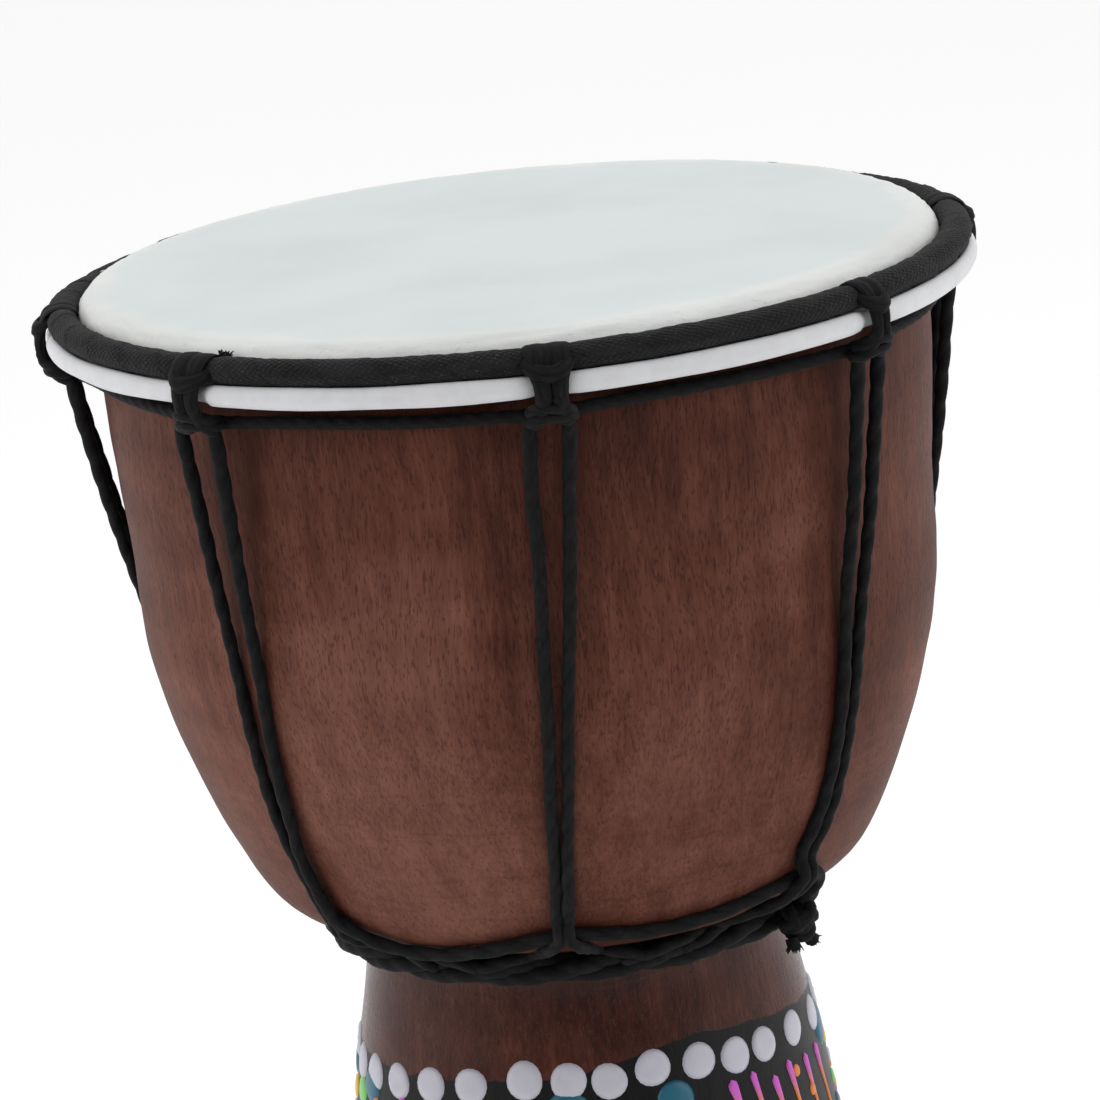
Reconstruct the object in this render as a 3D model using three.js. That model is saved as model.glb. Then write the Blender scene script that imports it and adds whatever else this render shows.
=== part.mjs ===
// Small rope-tuned goblet hand drum: carved wooden shell, stretched skin folded
// round a flesh hoop, cloth-wrapped crown ring, eight pairs of tension cords
// hitched between the crown ring and a waist ring, tie cords and an end knot.
// Millimetres, +Z up, origin at the centre of the foot.
import * as THREE from 'three';
import { mergeVertices } from 'three/addons/utils/BufferGeometryUtils.js';

const HEAD_Z = 200;            // top of the playing skin
const SEG = 36;                // facets round the axis, shared by every turned piece
const LOOPS = 8;               // pairs of tension cords
const CORD_R = 0.75;           // tension cord radius
const TIE_R = 0.85;            // tie cord radius
const SKIN_T = 0.56;           // skin thickness
const CROWN = { r: 50.2, z: 197.54, a: 1.75, b: 1.45, core: 0.8 };
const HOOP = { r: 50.9, z: 194.8, a: 1.45, b: 1.3, wireA: 0.75, wireB: 0.6 };
const WAIST = { r: 27.4, z: 123.9, R: 1.3, core: 0.62 };
const CORD_TOP = { r: 49.8, z: 189.3 };
// Azimuth of each hitch on the crown ring, degrees from -Y toward +X. Hand stringing is not quite even.
const AZ_TOP = [-87, -42, 3.3, 47.2, 99, 142, 184, 229];
// Course of each pair of cords, top to bottom: [height, azimuth of the pair, half the gap between centres]
const PAIRS = [
  [[189.3, -87.3, 2.1], [181, -91.5, 1.9], [168.5, -97.5, 1.5], [160, -102, 1.2], [150, -106.5, 1.0], [140, -109.5, 0.9], [131.3, -111, 0.85]],
  [[189.3, -44.15, 2.6], [183.7, -44.35, 2.35], [180, -44.5, 2.2], [173, -44.85, 2.0], [166, -44.95, 1.8], [159.3, -45.1, 1.6],
    [152, -45.9, 1.3], [144.4, -47.1, 1.05], [140.5, -47.5, 0.82], [136.5, -47.4, 0.8], [131.3, -47.2, 0.8]],
  [[189.3, 2.9, 2.1], [183.2, 2.3, 2.0], [179.8, 2.24, 1.81], [176.5, 2.04, 1.68], [169.7, 1.5, 1.5], [163, 0.8, 1.32],
    [156, 0.16, 1.06], [149, -0.5, 1.0], [145.2, -0.9, 0.91], [141.5, -1.2, 0.8], [137.7, -1.5, 0.8], [132.3, -2.2, 0.8]],
  [[189.3, 48.4, 1.8], [179, 48.1, 1.57], [172, 47.8, 1.52], [165.6, 46.65, 1.45], [162.2, 46.5, 1.34], [158.9, 46.2, 1.12],
    [151.9, 46.3, 0.87], [144.8, 46.3, 0.86], [141.3, 45.9, 0.8], [137.9, 44.9, 0.8], [134.1, 43.0, 0.8]],
  [[189.3, 99.3, 2.1], [175, 100.5, 1.8], [160, 103.5, 1.4], [150, 105.5, 1.1], [140, 107.5, 0.9], [131.3, 108.5, 0.85]],
  [[189.3, 142, 2.1], [157.5, 144, 1.4], [131.3, 146, 0.9]],
  [[189.3, 184, 2.1], [157.5, 182.5, 1.4], [131.3, 181, 0.9]],
  [[189.3, 229, 2.1], [157.5, 227, 1.4], [131.3, 226, 0.9]],
];
const FOOT = PAIRS.map((t) => ({ z: t[t.length - 1][0], az: t[t.length - 1][1] }));
function pairAt(table, z) {
  for (let i = 0; i < table.length - 1; i++) {
    const a = table[i], b = table[i + 1];
    if (z <= a[0] && z >= b[0]) {
      const f = (a[0] - z) / (a[0] - b[0]);
      return [a[1] + (b[1] - a[1]) * f, a[2] + (b[2] - a[2]) * f];
    }
  }
  const e = z > table[0][0] ? table[0] : table[table.length - 1];
  return [e[1], e[2]];
}

const rad = (d) => (d * Math.PI) / 180;
const polar = (az, r, z) => new THREE.Vector3(r * Math.sin(rad(az)), -r * Math.cos(rad(az)), z);

const MAT = {
  wood: { color: 0x6b4238, roughness: 0.45, metalness: 0.0 },
  skin: { color: 0xdde2dc, roughness: 0.55, metalness: 0.0 },
  cloth: { color: 0x1b1a1b, roughness: 0.9, metalness: 0.0 },
  cord: { color: 0x161617, roughness: 0.8, metalness: 0.0 },
  steel: { color: 0x9a9c9e, roughness: 0.35, metalness: 1.0 },
};

const root = new THREE.Group();
root.name = 'djembe';

// one closed body with its faces pointing out
function solid(geometry) {
  let g = geometry.clone();
  for (const k of Object.keys(g.attributes)) if (k !== 'position') g.deleteAttribute(k);
  g = mergeVertices(g, 1e-3);
  const p = g.attributes.position;
  const src = g.index.array;
  const keep = [];
  let vol = 0;
  const a = new THREE.Vector3(), b = new THREE.Vector3(), c = new THREE.Vector3();
  for (let i = 0; i < src.length; i += 3) {
    const [i0, i1, i2] = [src[i], src[i + 1], src[i + 2]];
    if (i0 === i1 || i1 === i2 || i0 === i2) continue;
    keep.push(i0, i1, i2);
    a.fromBufferAttribute(p, i0); b.fromBufferAttribute(p, i1); c.fromBufferAttribute(p, i2);
    vol += a.dot(b.cross(c)) / 6;
  }
  if (vol < 0) for (let i = 0; i < keep.length; i += 3) [keep[i + 1], keep[i + 2]] = [keep[i + 2], keep[i + 1]];
  g.setIndex(keep);
  g.computeVertexNormals();
  return g;
}

function add(name, geometry, mat) {
  const m = new THREE.Mesh(solid(geometry), new THREE.MeshStandardMaterial(MAT[mat]));
  m.name = name;
  root.add(m);
  return m;
}

// profile [r, z] pairs turned round the Z axis
function turned(profile, seg = SEG) {
  const g = new THREE.LatheGeometry(profile.map(([r, z]) => new THREE.Vector2(r, z)), seg);
  g.rotateX(Math.PI / 2);
  return g;
}

function oval(rc, zc, a, b, n, from = 0, to = 360) {
  const full = Math.abs(to - from) >= 360;
  const out = [];
  const steps = full ? n : n - 1;
  for (let i = 0; i < (full ? n : n); i++) {
    const t = rad(from + ((to - from) * i) / steps);
    out.push([rc + a * Math.cos(t), zc + b * Math.sin(t)]);
  }
  if (full) out.push(out[0].slice());
  return out;
}

// a flattened cord or strap: ellipse sections along a path in the plane of one azimuth
// stations: [r, z, half thickness, half width]
function strap(az, stations, sides = 6, dAz = 0) {
  const rings = [];
  const n = stations.length;
  for (let i = 0; i < n; i++) {
    const [r, z, h, w] = stations[i];
    const p = stations[Math.max(0, i - 1)], q = stations[Math.min(n - 1, i + 1)];
    const t = new THREE.Vector2(q[0] - p[0], q[1] - p[1]).normalize();
    const nr = new THREE.Vector2(-t.y, t.x);
    const ring = [];
    const a = az + (dAz * i) / (n - 1);
    const e = new THREE.Vector3(Math.cos(rad(a)), Math.sin(rad(a)), 0);
    for (let k = 0; k < sides; k++) {
      const u = (2 * Math.PI * (k + 0.5)) / sides;
      const pt = polar(a, r + nr.x * h * Math.cos(u), z + nr.y * h * Math.cos(u));
      pt.addScaledVector(e, w * Math.sin(u));
      ring.push(pt);
    }
    rings.push(ring);
  }
  const pos = [];
  const tri = (A, B, C) => pos.push(...A.toArray(), ...B.toArray(), ...C.toArray());
  for (let i = 0; i < n - 1; i++)
    for (let k = 0; k < sides; k++) {
      const k2 = (k + 1) % sides;
      tri(rings[i][k], rings[i][k2], rings[i + 1][k2]);
      tri(rings[i][k], rings[i + 1][k2], rings[i + 1][k]);
    }
  for (let k = 1; k < sides - 1; k++) {
    tri(rings[0][0], rings[0][k + 1], rings[0][k]);
    tri(rings[n - 1][0], rings[n - 1][k], rings[n - 1][k + 1]);
  }
  const g = new THREE.BufferGeometry();
  g.setAttribute('position', new THREE.Float32BufferAttribute(pos, 3));
  return g;
}

// open cord along a curve
function cord(points, radius, sides, steps) {
  const shape = new THREE.Shape();
  for (let k = 0; k < sides; k++) {
    const u = (2 * Math.PI * k) / sides;
    if (k === 0) shape.moveTo(radius * Math.cos(u), radius * Math.sin(u));
    else shape.lineTo(radius * Math.cos(u), radius * Math.sin(u));
  }
  shape.closePath();
  const curve = new THREE.CatmullRomCurve3(points, false, 'centripetal');
  return new THREE.ExtrudeGeometry(shape, { steps, bevelEnabled: false, extrudePath: curve });
}

// closed cord ring whose radius and height follow functions of the azimuth
class RingCurve extends THREE.Curve {
  constructor(fr, fz) { super(); this.fr = fr; this.fz = fz; this.arcLengthDivisions = 400; }
  getPoint(t) { const az = t * 360; return polar(az, this.fr(az), this.fz(az)); }
}

// ---------------------------------------------------------------- shell
const OUTER = [
  [45.0, 199.3], [46.2, 198.9], [46.6, 197.6], [46.6, 188.0], [46.2, 180.0],
  [45.4, 170.0], [44.9, 159.0], [42.7, 149.0], [40.0, 141.0], [37.45, 135.0], [34.7, 130.0],
  [32.6, 128.0], [30.0, 126.6], [27.2, 125.4], [25.3, 124.3], [24.4, 122.4], [24.4, 119.5],
  [26.2, 109.0], [28.0, 96.7], [30.3, 76.0], [33.0, 48.0], [36.4, 18.0], [38.2, 5.0],
  [38.4, 2.2], [37.2, 0.0],
];
const INNER = [
  [31.4, 0.0], [30.4, 6.0], [27.4, 28.0], [23.0, 62.0],
  [19.2, 93.0], [17.4, 112.0], [17.3, 121.0], [19.6, 130.0],
  [26.0, 138.0], [32.0, 146.0], [35.8, 154.5], [38.0, 166.0],
  [40.0, 190.0], [41.6, 196.6], [43.8, 199.0], [45.0, 199.3],
];
add('shell', turned([...OUTER, ...INNER]), 'wood');

// outer profile pushed outward by d, as [z, r] pairs running down
function offsetOuter(d) {
  const out = [];
  for (let i = 2; i < OUTER.length - 2; i++) {
    const p = OUTER[i - 1], q = OUTER[i + 1];
    const t = new THREE.Vector2(q[0] - p[0], q[1] - p[1]).normalize();
    out.push([OUTER[i][1] + t.x * d, OUTER[i][0] - t.y * d]);
  }
  return out;
}
function radiusAt(table, z) {
  for (let i = 0; i < table.length - 1; i++) {
    const [z0, r0] = table[i], [z1, r1] = table[i + 1];
    if (z <= z0 && z >= z1) return r0 + ((r1 - r0) * (z0 - z)) / (z0 - z1);
  }
  return table[0][1];
}

// ---------------------------------------------------------------- head
// Skin: flat over the bearing edge, down the outside of the shell, under the
// flesh hoop and up again, its cut end tucked beneath the crown ring.
const fold = (a, b, from, to, n) => oval(HOOP.r, HOOP.z, a, b, n, from, to);
const skinTop = [[0, HEAD_Z], [45.3, HEAD_Z], [46.4, 199.86], [47.3, 199.35],
  [48.08, 198.5], [48.34, 197.5], [48.5, 196.6], [48.8, 196.0]];
const skinUnder = [[48.75, 195.3], [48.2, 195.85], [47.93, 196.55], [47.76, 197.4],
  [47.56, 198.15], [46.95, 198.85], [46.2, 199.3], [45.3, HEAD_Z - SKIN_T], [0, HEAD_Z - SKIN_T]];
add('drum_skin', turned([
  ...skinTop,
  ...fold(HOOP.a - SKIN_T + 0.02, HOOP.b - SKIN_T + 0.02, 165, 430, 7),
  ...fold(HOOP.a, HOOP.b, 425, 185, 8),
  ...skinUnder,
]), 'skin');
add('flesh_hoop', turned(oval(HOOP.r, HOOP.z, HOOP.wireA, HOOP.wireB, 6)), 'steel');

// Crown ring: steel ring wound with a cloth strip whose edges meet in a seam underneath
function wrapped(rc, zc, a, b, core, gap, seamAt, n, m) {
  const outer = oval(rc, zc, a, b, n, seamAt + gap, seamAt + 360 - gap);
  const inner = oval(rc, zc, core, core, m, seamAt + 360 - gap * 1.7, seamAt + gap * 1.7);
  return [...outer, ...inner, outer[0].slice()];
}
add('crown_ring_core', turned(oval(CROWN.r, CROWN.z, CROWN.core, CROWN.core, 6)), 'steel');
add('crown_ring_wrap', turned(wrapped(CROWN.r, CROWN.z, CROWN.a, CROWN.b, CROWN.core + 0.2, 8, 250, 11, 7)), 'cloth');

// ---------------------------------------------------------------- waist ring
add('waist_ring_core', turned(oval(WAIST.r, WAIST.z, WAIST.core, WAIST.core, 6)), 'steel');
add('waist_ring_wrap', turned(wrapped(WAIST.r, WAIST.z, WAIST.R, WAIST.R, WAIST.core + 0.18, 10, 150, 9, 6)), 'cloth');

// ---------------------------------------------------------------- tie cords
// span(az): how far round a straight chord from one hitch to the next dips inward
function chord(az, angles, rHitch, rMin) {
  let best = 1e9, mid = 0, half = 22.5;
  for (let i = 0; i < angles.length; i++) {
    const a = angles[i];
    let b = angles[(i + 1) % angles.length];
    let span = (((b - a) % 360) + 360) % 360;
    let d = (((az - a) % 360) + 360) % 360;
    if (d <= span) { mid = a + span / 2; half = span / 2; best = d - span / 2; break; }
  }
  const r = (rHitch * Math.cos(rad(half))) / Math.cos(rad(best));
  return Math.max(rMin, r);
}
add('upper_tie_cord', new THREE.TubeGeometry(
  new RingCurve((az) => chord(az, AZ_TOP, 49.95, 47.75), (az) => 191.85), 56, 0.9, 6, true), 'cord');

// ---------------------------------------------------------------- hitches and tension cords
// Over the crown ring the hitch lies flat; it gathers in a lump at the ring's lower edge,
// passes the band as a narrow neck and ends in a second lump round the upper tie cord.
const TOP_PATH = [
  [48.42, 198.3, 0.1, 1.8], [48.8, 198.92, 0.18, 2.5], [49.45, 199.27, 0.25, 2.9], [50.3, 199.4, 0.27, 3.0],
  [51.52, 199.02, 0.29, 2.9], [52.24, 198.3, 0.3, 2.7], [52.5, 197.3, 0.34, 2.5], [52.84, 196.3, 0.64, 2.5],
  [53.08, 195.4, 0.64, 2.1], [53.08, 194.6, 0.62, 1.75], [52.78, 193.4, 0.62, 1.8], [52.1, 192.4, 0.75, 2.6],
  [51.45, 191.1, 0.75, 2.7], [50.4, 190.25, 0.5, 2.5], [49.4, 190.2, 0.35, 2.0],
];
const hug = offsetOuter(CORD_R + 0.28);
const row = (z, d, h, w) => [radiusAt(offsetOuter(d), z), z, h, w];
const ringTurn = (deg, h, w) => [WAIST.r + (1.34 + h) * Math.cos(rad(deg)), WAIST.z + (1.34 + h) * Math.sin(rad(deg)), h, w];
// A foot hitch: the pair runs on down, over the tie cord where there is one, and round the waist ring.
function footPath(z0, tieZ) {
  const over = tieZ
    ? [row(z0 - 0.62, 1.1, 0.55, 1.65), row(tieZ + 0.9, 2.3, 0.55, 1.65), row(tieZ, 2.52, 0.55, 1.6), row(tieZ - 1.1, 2.3, 0.55, 1.6),
      row(Math.min(tieZ - 2.2, 128.2), 1.4, 0.55, 1.7)]
    : [row(z0 - 0.35, 0.95, 0.6, 1.7), row(129.6, 0.95, 0.6, 1.65), row(128.0, 0.95, 0.6, 1.65)];
  return [...over, row(126.7, 0.95, 0.55, 1.8),
    ringTurn(50, 0.45, 2.0), ringTurn(10, 0.3, 2.1), ringTurn(-35, 0.3, 2.0), ringTurn(-80, 0.3, 1.8), ringTurn(-125, 0.25, 1.4)];
}
const TIE_AT_FOOT = { 2: 130.0, 3: 131.3 };
for (let i = 0; i < LOOPS; i++) {
  const n = i + 1;
  add(`top_loop_${n}`, strap(AZ_TOP[i], TOP_PATH), 'cord');
  add(`bottom_loop_${n}`, strap(FOOT[i].az, footPath(FOOT[i].z, TIE_AT_FOOT[i])), 'cord');
  for (const [side, tag] of [[-1, 'a'], [1, 'b']]) {
    const zs = [CORD_TOP.z, 181, 173, 165, 157.5, 151, 145, 139.5, 136, FOOT[i].z];
    const contact = 157.5;
    const pts = zs.map((z) => {
      const [az, off] = pairAt(PAIRS[i], z);
      let r = radiusAt(hug, z);
      if (z > contact) {
        const rc = radiusAt(hug, contact);
        r = rc + ((CORD_TOP.r - rc) * (z - contact)) / (CORD_TOP.z - contact);
      }
      const p = polar(az, r, z);
      p.addScaledVector(new THREE.Vector3(Math.cos(rad(az)), Math.sin(rad(az)), 0), side * off);
      return p;
    });
    add(`tension_cord_${n}${tag}`, cord(pts, CORD_R, 6, 11), 'cord');
  }
}

// ---------------------------------------------------------------- waist tie cord, end knot, cut tails
// The free end of the tuning cord: from beside one foot hitch, under the next two, down to the knot.
// [azimuth, height, distance of its centre from the wood]
const TIE_PATH = [
  [-42.4, 129.6, 1.1], [-39.7, 128.6, 1.1], [-35, 127.7, 1.1], [-28.7, 127.3, 1.1], [-19, 128.0, 1.1],
  [-10.6, 129.1, 1.05], [-5.7, 129.8, 1.05], [-2.2, 130.0, 1.05], [1.5, 129.9, 1.05], [5.8, 129.6, 1.05], [11.2, 129.3, 1.1],
  [16.6, 129.3, 1.1], [22.1, 129.5, 1.1], [27.9, 129.9, 1.1], [34.2, 130.5, 1.1], [39, 131.0, 1.05], [42, 131.3, 1.05],
  [45, 131.3, 1.05], [48, 130.8, 1.1], [50, 130.0, 1.15], [51.5, 129.0, 1.3], [52.5, 128.0, 1.5],
];
const tiePts = TIE_PATH.map(([az, z, d]) => polar(az, radiusAt(offsetOuter(d), z), z));
add('waist_tie_cord', cord(tiePts, TIE_R, 6, 42), 'cord');

const KNOT = { az: 52.6, r: 31.7, z: 123.5, R: 2.45, tall: 1.1 };
const knot = new THREE.SphereGeometry(KNOT.R, 12, 8);
knot.rotateX(Math.PI / 2);
knot.scale(1, 1, KNOT.tall);
const kp = polar(KNOT.az, KNOT.r, KNOT.z);
knot.translate(kp.x, kp.y, kp.z);
add('end_knot', knot, 'cord');
for (const [tag, az, lean, len] of [['a', 50.3, 49.9, 1.2], ['b', 54.8, 57.0, 1.1]]) {
  const z0 = KNOT.z - KNOT.R * KNOT.tall - 0.1;
  add(`knot_tail_${tag}`, cord([polar(az, 31.2, z0), polar((az + lean) / 2, 31.3, z0 - len * 0.5), polar(lean, 31.5, z0 - len)], 0.7, 6, 4), 'cord');
}

export default root;
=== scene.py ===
"""Looks for the small rope-tuned goblet drum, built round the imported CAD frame.

Lengths in the tables are millimetres and are scaled to metres when a mesh is made.
Azimuths are degrees from -Y toward +X, as in the CAD model.
"""
import math

import bpy
import numpy as np
from mathutils import Matrix, Vector


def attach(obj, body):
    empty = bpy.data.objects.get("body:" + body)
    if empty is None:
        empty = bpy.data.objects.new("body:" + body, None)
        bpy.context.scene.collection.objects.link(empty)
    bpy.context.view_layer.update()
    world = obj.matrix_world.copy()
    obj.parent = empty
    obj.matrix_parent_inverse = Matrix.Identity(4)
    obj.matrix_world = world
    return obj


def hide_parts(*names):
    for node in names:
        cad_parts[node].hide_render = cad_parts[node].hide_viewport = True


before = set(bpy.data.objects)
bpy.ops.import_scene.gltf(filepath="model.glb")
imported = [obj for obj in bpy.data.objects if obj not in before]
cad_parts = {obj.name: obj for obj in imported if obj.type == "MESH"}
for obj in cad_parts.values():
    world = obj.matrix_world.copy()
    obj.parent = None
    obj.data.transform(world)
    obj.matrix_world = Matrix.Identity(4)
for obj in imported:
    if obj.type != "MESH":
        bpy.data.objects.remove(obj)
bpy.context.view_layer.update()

MM = 0.001
TAU = 2 * math.pi
HEAD_Z = 200.0
LOOPS = 8
AZ_TOP = [-87, -42, 3.3, 47.2, 99, 142, 184, 229]
# course of each pair of cords, top to bottom: [height, azimuth of the pair, half the gap between centres]
PAIRS = [
    [[189.3, -87.3, 2.1], [181, -91.5, 1.9], [168.5, -97.5, 1.5], [160, -102, 1.2], [150, -106.5, 1.0], [140, -109.5, 0.9], [131.3, -111, 0.85]],
    [[189.3, -44.15, 2.6], [183.7, -44.35, 2.35], [180, -44.5, 2.2], [173, -44.85, 2.0], [166, -44.95, 1.8], [159.3, -45.1, 1.6],
     [152, -45.9, 1.3], [144.4, -47.1, 1.05], [140.5, -47.5, 0.75], [136.5, -47.4, 0.68], [131.3, -47.2, 0.62]],
    [[189.3, 2.9, 2.1], [183.2, 2.3, 2.0], [179.8, 2.24, 1.81], [176.5, 2.04, 1.68], [169.7, 1.5, 1.5], [163, 0.8, 1.32],
     [156, 0.16, 1.06], [149, -0.5, 1.0], [145.2, -0.9, 0.91], [141.5, -1.2, 0.75], [137.7, -1.5, 0.66], [132.3, -2.2, 0.60]],
    [[189.3, 48.4, 1.8], [179, 48.1, 1.57], [172, 47.8, 1.52], [165.6, 46.65, 1.45], [162.2, 46.5, 1.34], [158.9, 46.2, 1.12],
     [151.9, 46.3, 0.87], [144.8, 46.3, 0.86], [141.3, 45.9, 0.72], [137.9, 44.9, 0.68], [134.1, 43.0, 0.64]],
    [[189.3, 99.3, 2.1], [175, 100.5, 1.8], [160, 103.5, 1.4], [150, 105.5, 1.1], [140, 107.5, 0.9], [131.3, 108.5, 0.85]],
    [[189.3, 142, 2.1], [157.5, 144, 1.4], [131.3, 146, 0.9]],
    [[189.3, 184, 2.1], [157.5, 182.5, 1.4], [131.3, 181, 0.9]],
    [[189.3, 229, 2.1], [157.5, 227, 1.4], [131.3, 226, 0.9]],
]
AZ_FOOT = [t[-1][1] for t in PAIRS]
Z_FOOT = [t[-1][0] for t in PAIRS]
CORD_R = 0.75
TIE_R = 0.85
CROWN = dict(r=50.2, z=197.54, a=1.75, b=1.45)
HOOP = dict(r=50.9, z=194.8, a=1.45, b=1.3)
WAIST = dict(r=27.4, z=123.9, R=1.3)


# ------------------------------------------------------------------ helpers
def polar(az, r, z):
    a = np.radians(az)
    return np.stack(np.broadcast_arrays(r * np.sin(a), -r * np.cos(a), z), -1)


def smoothstep(a, b, x):
    t = np.clip((np.asarray(x, float) - a) / (b - a), 0, 1)
    return t * t * (3 - 2 * t)


def waves(seed, n, lo, hi, dims=2, integer_first=False):
    """A smooth field: a seeded sum of sines. With integer_first, the first coordinate is an angle."""
    g = np.random.default_rng(seed)
    k = g.uniform(lo, hi, (n, dims)) * g.choice([-1, 1], (n, dims))
    if integer_first:
        k[:, 0] = np.round(k[:, 0])
    ph = g.uniform(0, TAU, n)
    amp = 1 / math.sqrt(n)

    def f(*xs):
        out = 0
        for i in range(n):
            out = out + amp * np.sin(sum(k[i, j] * xs[j] for j in range(dims)) + ph[i])
        return out

    return f


def catmull(points, per=12, closed=False):
    """Centripetal Catmull-Rom through the points."""
    p = np.asarray(points, float)
    n = len(p)
    if closed:
        ext = np.vstack([p[-1], p, p[0], p[1]])
        segs = n
    else:
        ext = np.vstack([2 * p[0] - p[1], p, 2 * p[-1] - p[-2]])
        segs = n - 1
    out = []
    for i in range(segs):
        p0, p1, p2, p3 = ext[i], ext[i + 1], ext[i + 2], ext[i + 3]
        t = [0.0]
        for a, b in ((p0, p1), (p1, p2), (p2, p3)):
            t.append(t[-1] + max(np.linalg.norm(b - a), 1e-6) ** 0.5)
        u = np.linspace(t[1], t[2], per, endpoint=False)[:, None]
        a1 = (t[1] - u) / (t[1] - t[0]) * p0 + (u - t[0]) / (t[1] - t[0]) * p1
        a2 = (t[2] - u) / (t[2] - t[1]) * p1 + (u - t[1]) / (t[2] - t[1]) * p2
        a3 = (t[3] - u) / (t[3] - t[2]) * p2 + (u - t[2]) / (t[3] - t[2]) * p3
        b1 = (t[2] - u) / (t[2] - t[0]) * a1 + (u - t[0]) / (t[2] - t[0]) * a2
        b2 = (t[3] - u) / (t[3] - t[1]) * a2 + (u - t[1]) / (t[3] - t[1]) * a3
        out.append((t[2] - u) / (t[2] - t[1]) * b1 + (u - t[1]) / (t[2] - t[1]) * b2)
    out = np.vstack(out)
    if not closed:
        out = np.vstack([out, p[-1]])
    return out


def respace(path, step, closed=False):
    """The path again, with equal steps of about this length."""
    p = np.asarray(path, float)
    if closed:
        p = np.vstack([p, p[0]])
    s = np.concatenate([[0], np.cumsum(np.linalg.norm(np.diff(p, axis=0), axis=1))])
    n = max(3, int(round(s[-1] / step)))
    u = np.linspace(0, s[-1], n + 1)
    q = np.stack([np.interp(u, s, p[:, j]) for j in range(p.shape[1])], -1)
    return (q[:-1], s[-1]) if closed else (q, s[-1])


class Build:
    """Collects grids of points into one mesh, with a texture map in millimetres along and across."""

    def __init__(self):
        self.v, self.f, self.uv, self.mat, self.attr, self.n = [], [], [], [], {}, 0

    def add(self, verts, faces, uv=None, mat=0, **attrs):
        verts = np.asarray(verts, float).reshape(-1, 3)
        k = len(verts)
        self.v.append(verts)
        self.f += [[i + self.n for i in f] for f in faces]
        self.mat += [mat] * len(faces)
        self.uv += uv if uv is not None else [[(0.0, 0.0)] * len(f) for f in faces]
        for name, val in attrs.items():
            val = np.asarray(val, float)
            val = np.broadcast_to(val, (k,) if val.ndim == 0 else val.shape)
            self.attr.setdefault(name, []).append((self.n, val))
        self.n += k

    def grid(self, p, closed_u=False, closed_v=True, us=None, vs=None, mat=0, flip=False, **attrs):
        """p is (nu, nv, 3): u runs along, v runs across."""
        nu, nv = p.shape[:2]
        us = np.arange(nu + 1) if us is None else us
        vs = np.arange(nv + 1) if vs is None else vs
        faces, uv = [], []
        for i in range(nu if closed_u else nu - 1):
            i2 = (i + 1) % nu
            for j in range(nv if closed_v else nv - 1):
                j2 = (j + 1) % nv
                f = [i * nv + j, i2 * nv + j, i2 * nv + j2, i * nv + j2]
                w = [(us[i], vs[j]), (us[i + 1], vs[j]), (us[i + 1], vs[j + 1]), (us[i], vs[j + 1])]
                if flip:
                    f.reverse()
                    w.reverse()
                faces.append(f)
                uv.append(w)
        attrs = {k: np.asarray(v).reshape((nu * nv,) + np.asarray(v).shape[2:]) if np.asarray(v).ndim >= 2 else v for k, v in attrs.items()}
        self.add(p.reshape(-1, 3), faces, uv, mat, **attrs)

    def mesh(self, name, materials, smooth=True):
        me = bpy.data.meshes.new(name)
        v = np.vstack(self.v) * MM
        me.from_pydata(v.tolist(), [], self.f)
        me.update()
        layer = me.uv_layers.new(name="tex")
        flat = np.array([c for f in self.uv for c in f], float).ravel()
        layer.data.foreach_set("uv", flat)
        me.polygons.foreach_set("material_index", self.mat)
        if smooth:
            me.polygons.foreach_set("use_smooth", [True] * len(me.polygons))
        for nm, parts in self.attr.items():
            dim = 1 if parts[0][1].ndim == 1 else parts[0][1].shape[1]
            data = np.zeros((self.n, dim))
            for at, val in parts:
                data[at : at + len(val)] = val.reshape(len(val), dim)
            if dim == 1:
                a = me.attributes.new(nm, "FLOAT", "POINT")
                a.data.foreach_set("value", data.ravel())
            else:
                a = me.attributes.new(nm, "FLOAT_COLOR", "POINT")
                col = np.ones((self.n, 4))
                col[:, :dim] = data
                a.data.foreach_set("color", col.ravel())
        for m in materials:
            me.materials.append(m)
        me.validate()
        ob = bpy.data.objects.new(name, me)
        bpy.context.scene.collection.objects.link(ob)
        return ob


def frames(p, closed):
    """Tangents and a pair of normals carried along without twist."""
    if closed:
        t = np.roll(p, -1, 0) - np.roll(p, 1, 0)
    else:
        t = np.gradient(p, axis=0)
    t /= np.linalg.norm(t, axis=1)[:, None]
    a = np.zeros_like(p)
    ref = np.array([0, 0, 1.0]) if abs(t[0, 2]) < 0.9 else np.array([1.0, 0, 0])
    a[0] = np.cross(t[0], ref)
    a[0] /= np.linalg.norm(a[0])
    for i in range(1, len(p)):
        v = a[i - 1] - t[i] * np.dot(a[i - 1], t[i])
        a[i] = v / np.linalg.norm(v)
    b = np.cross(t, a)
    return t, a, b


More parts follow.
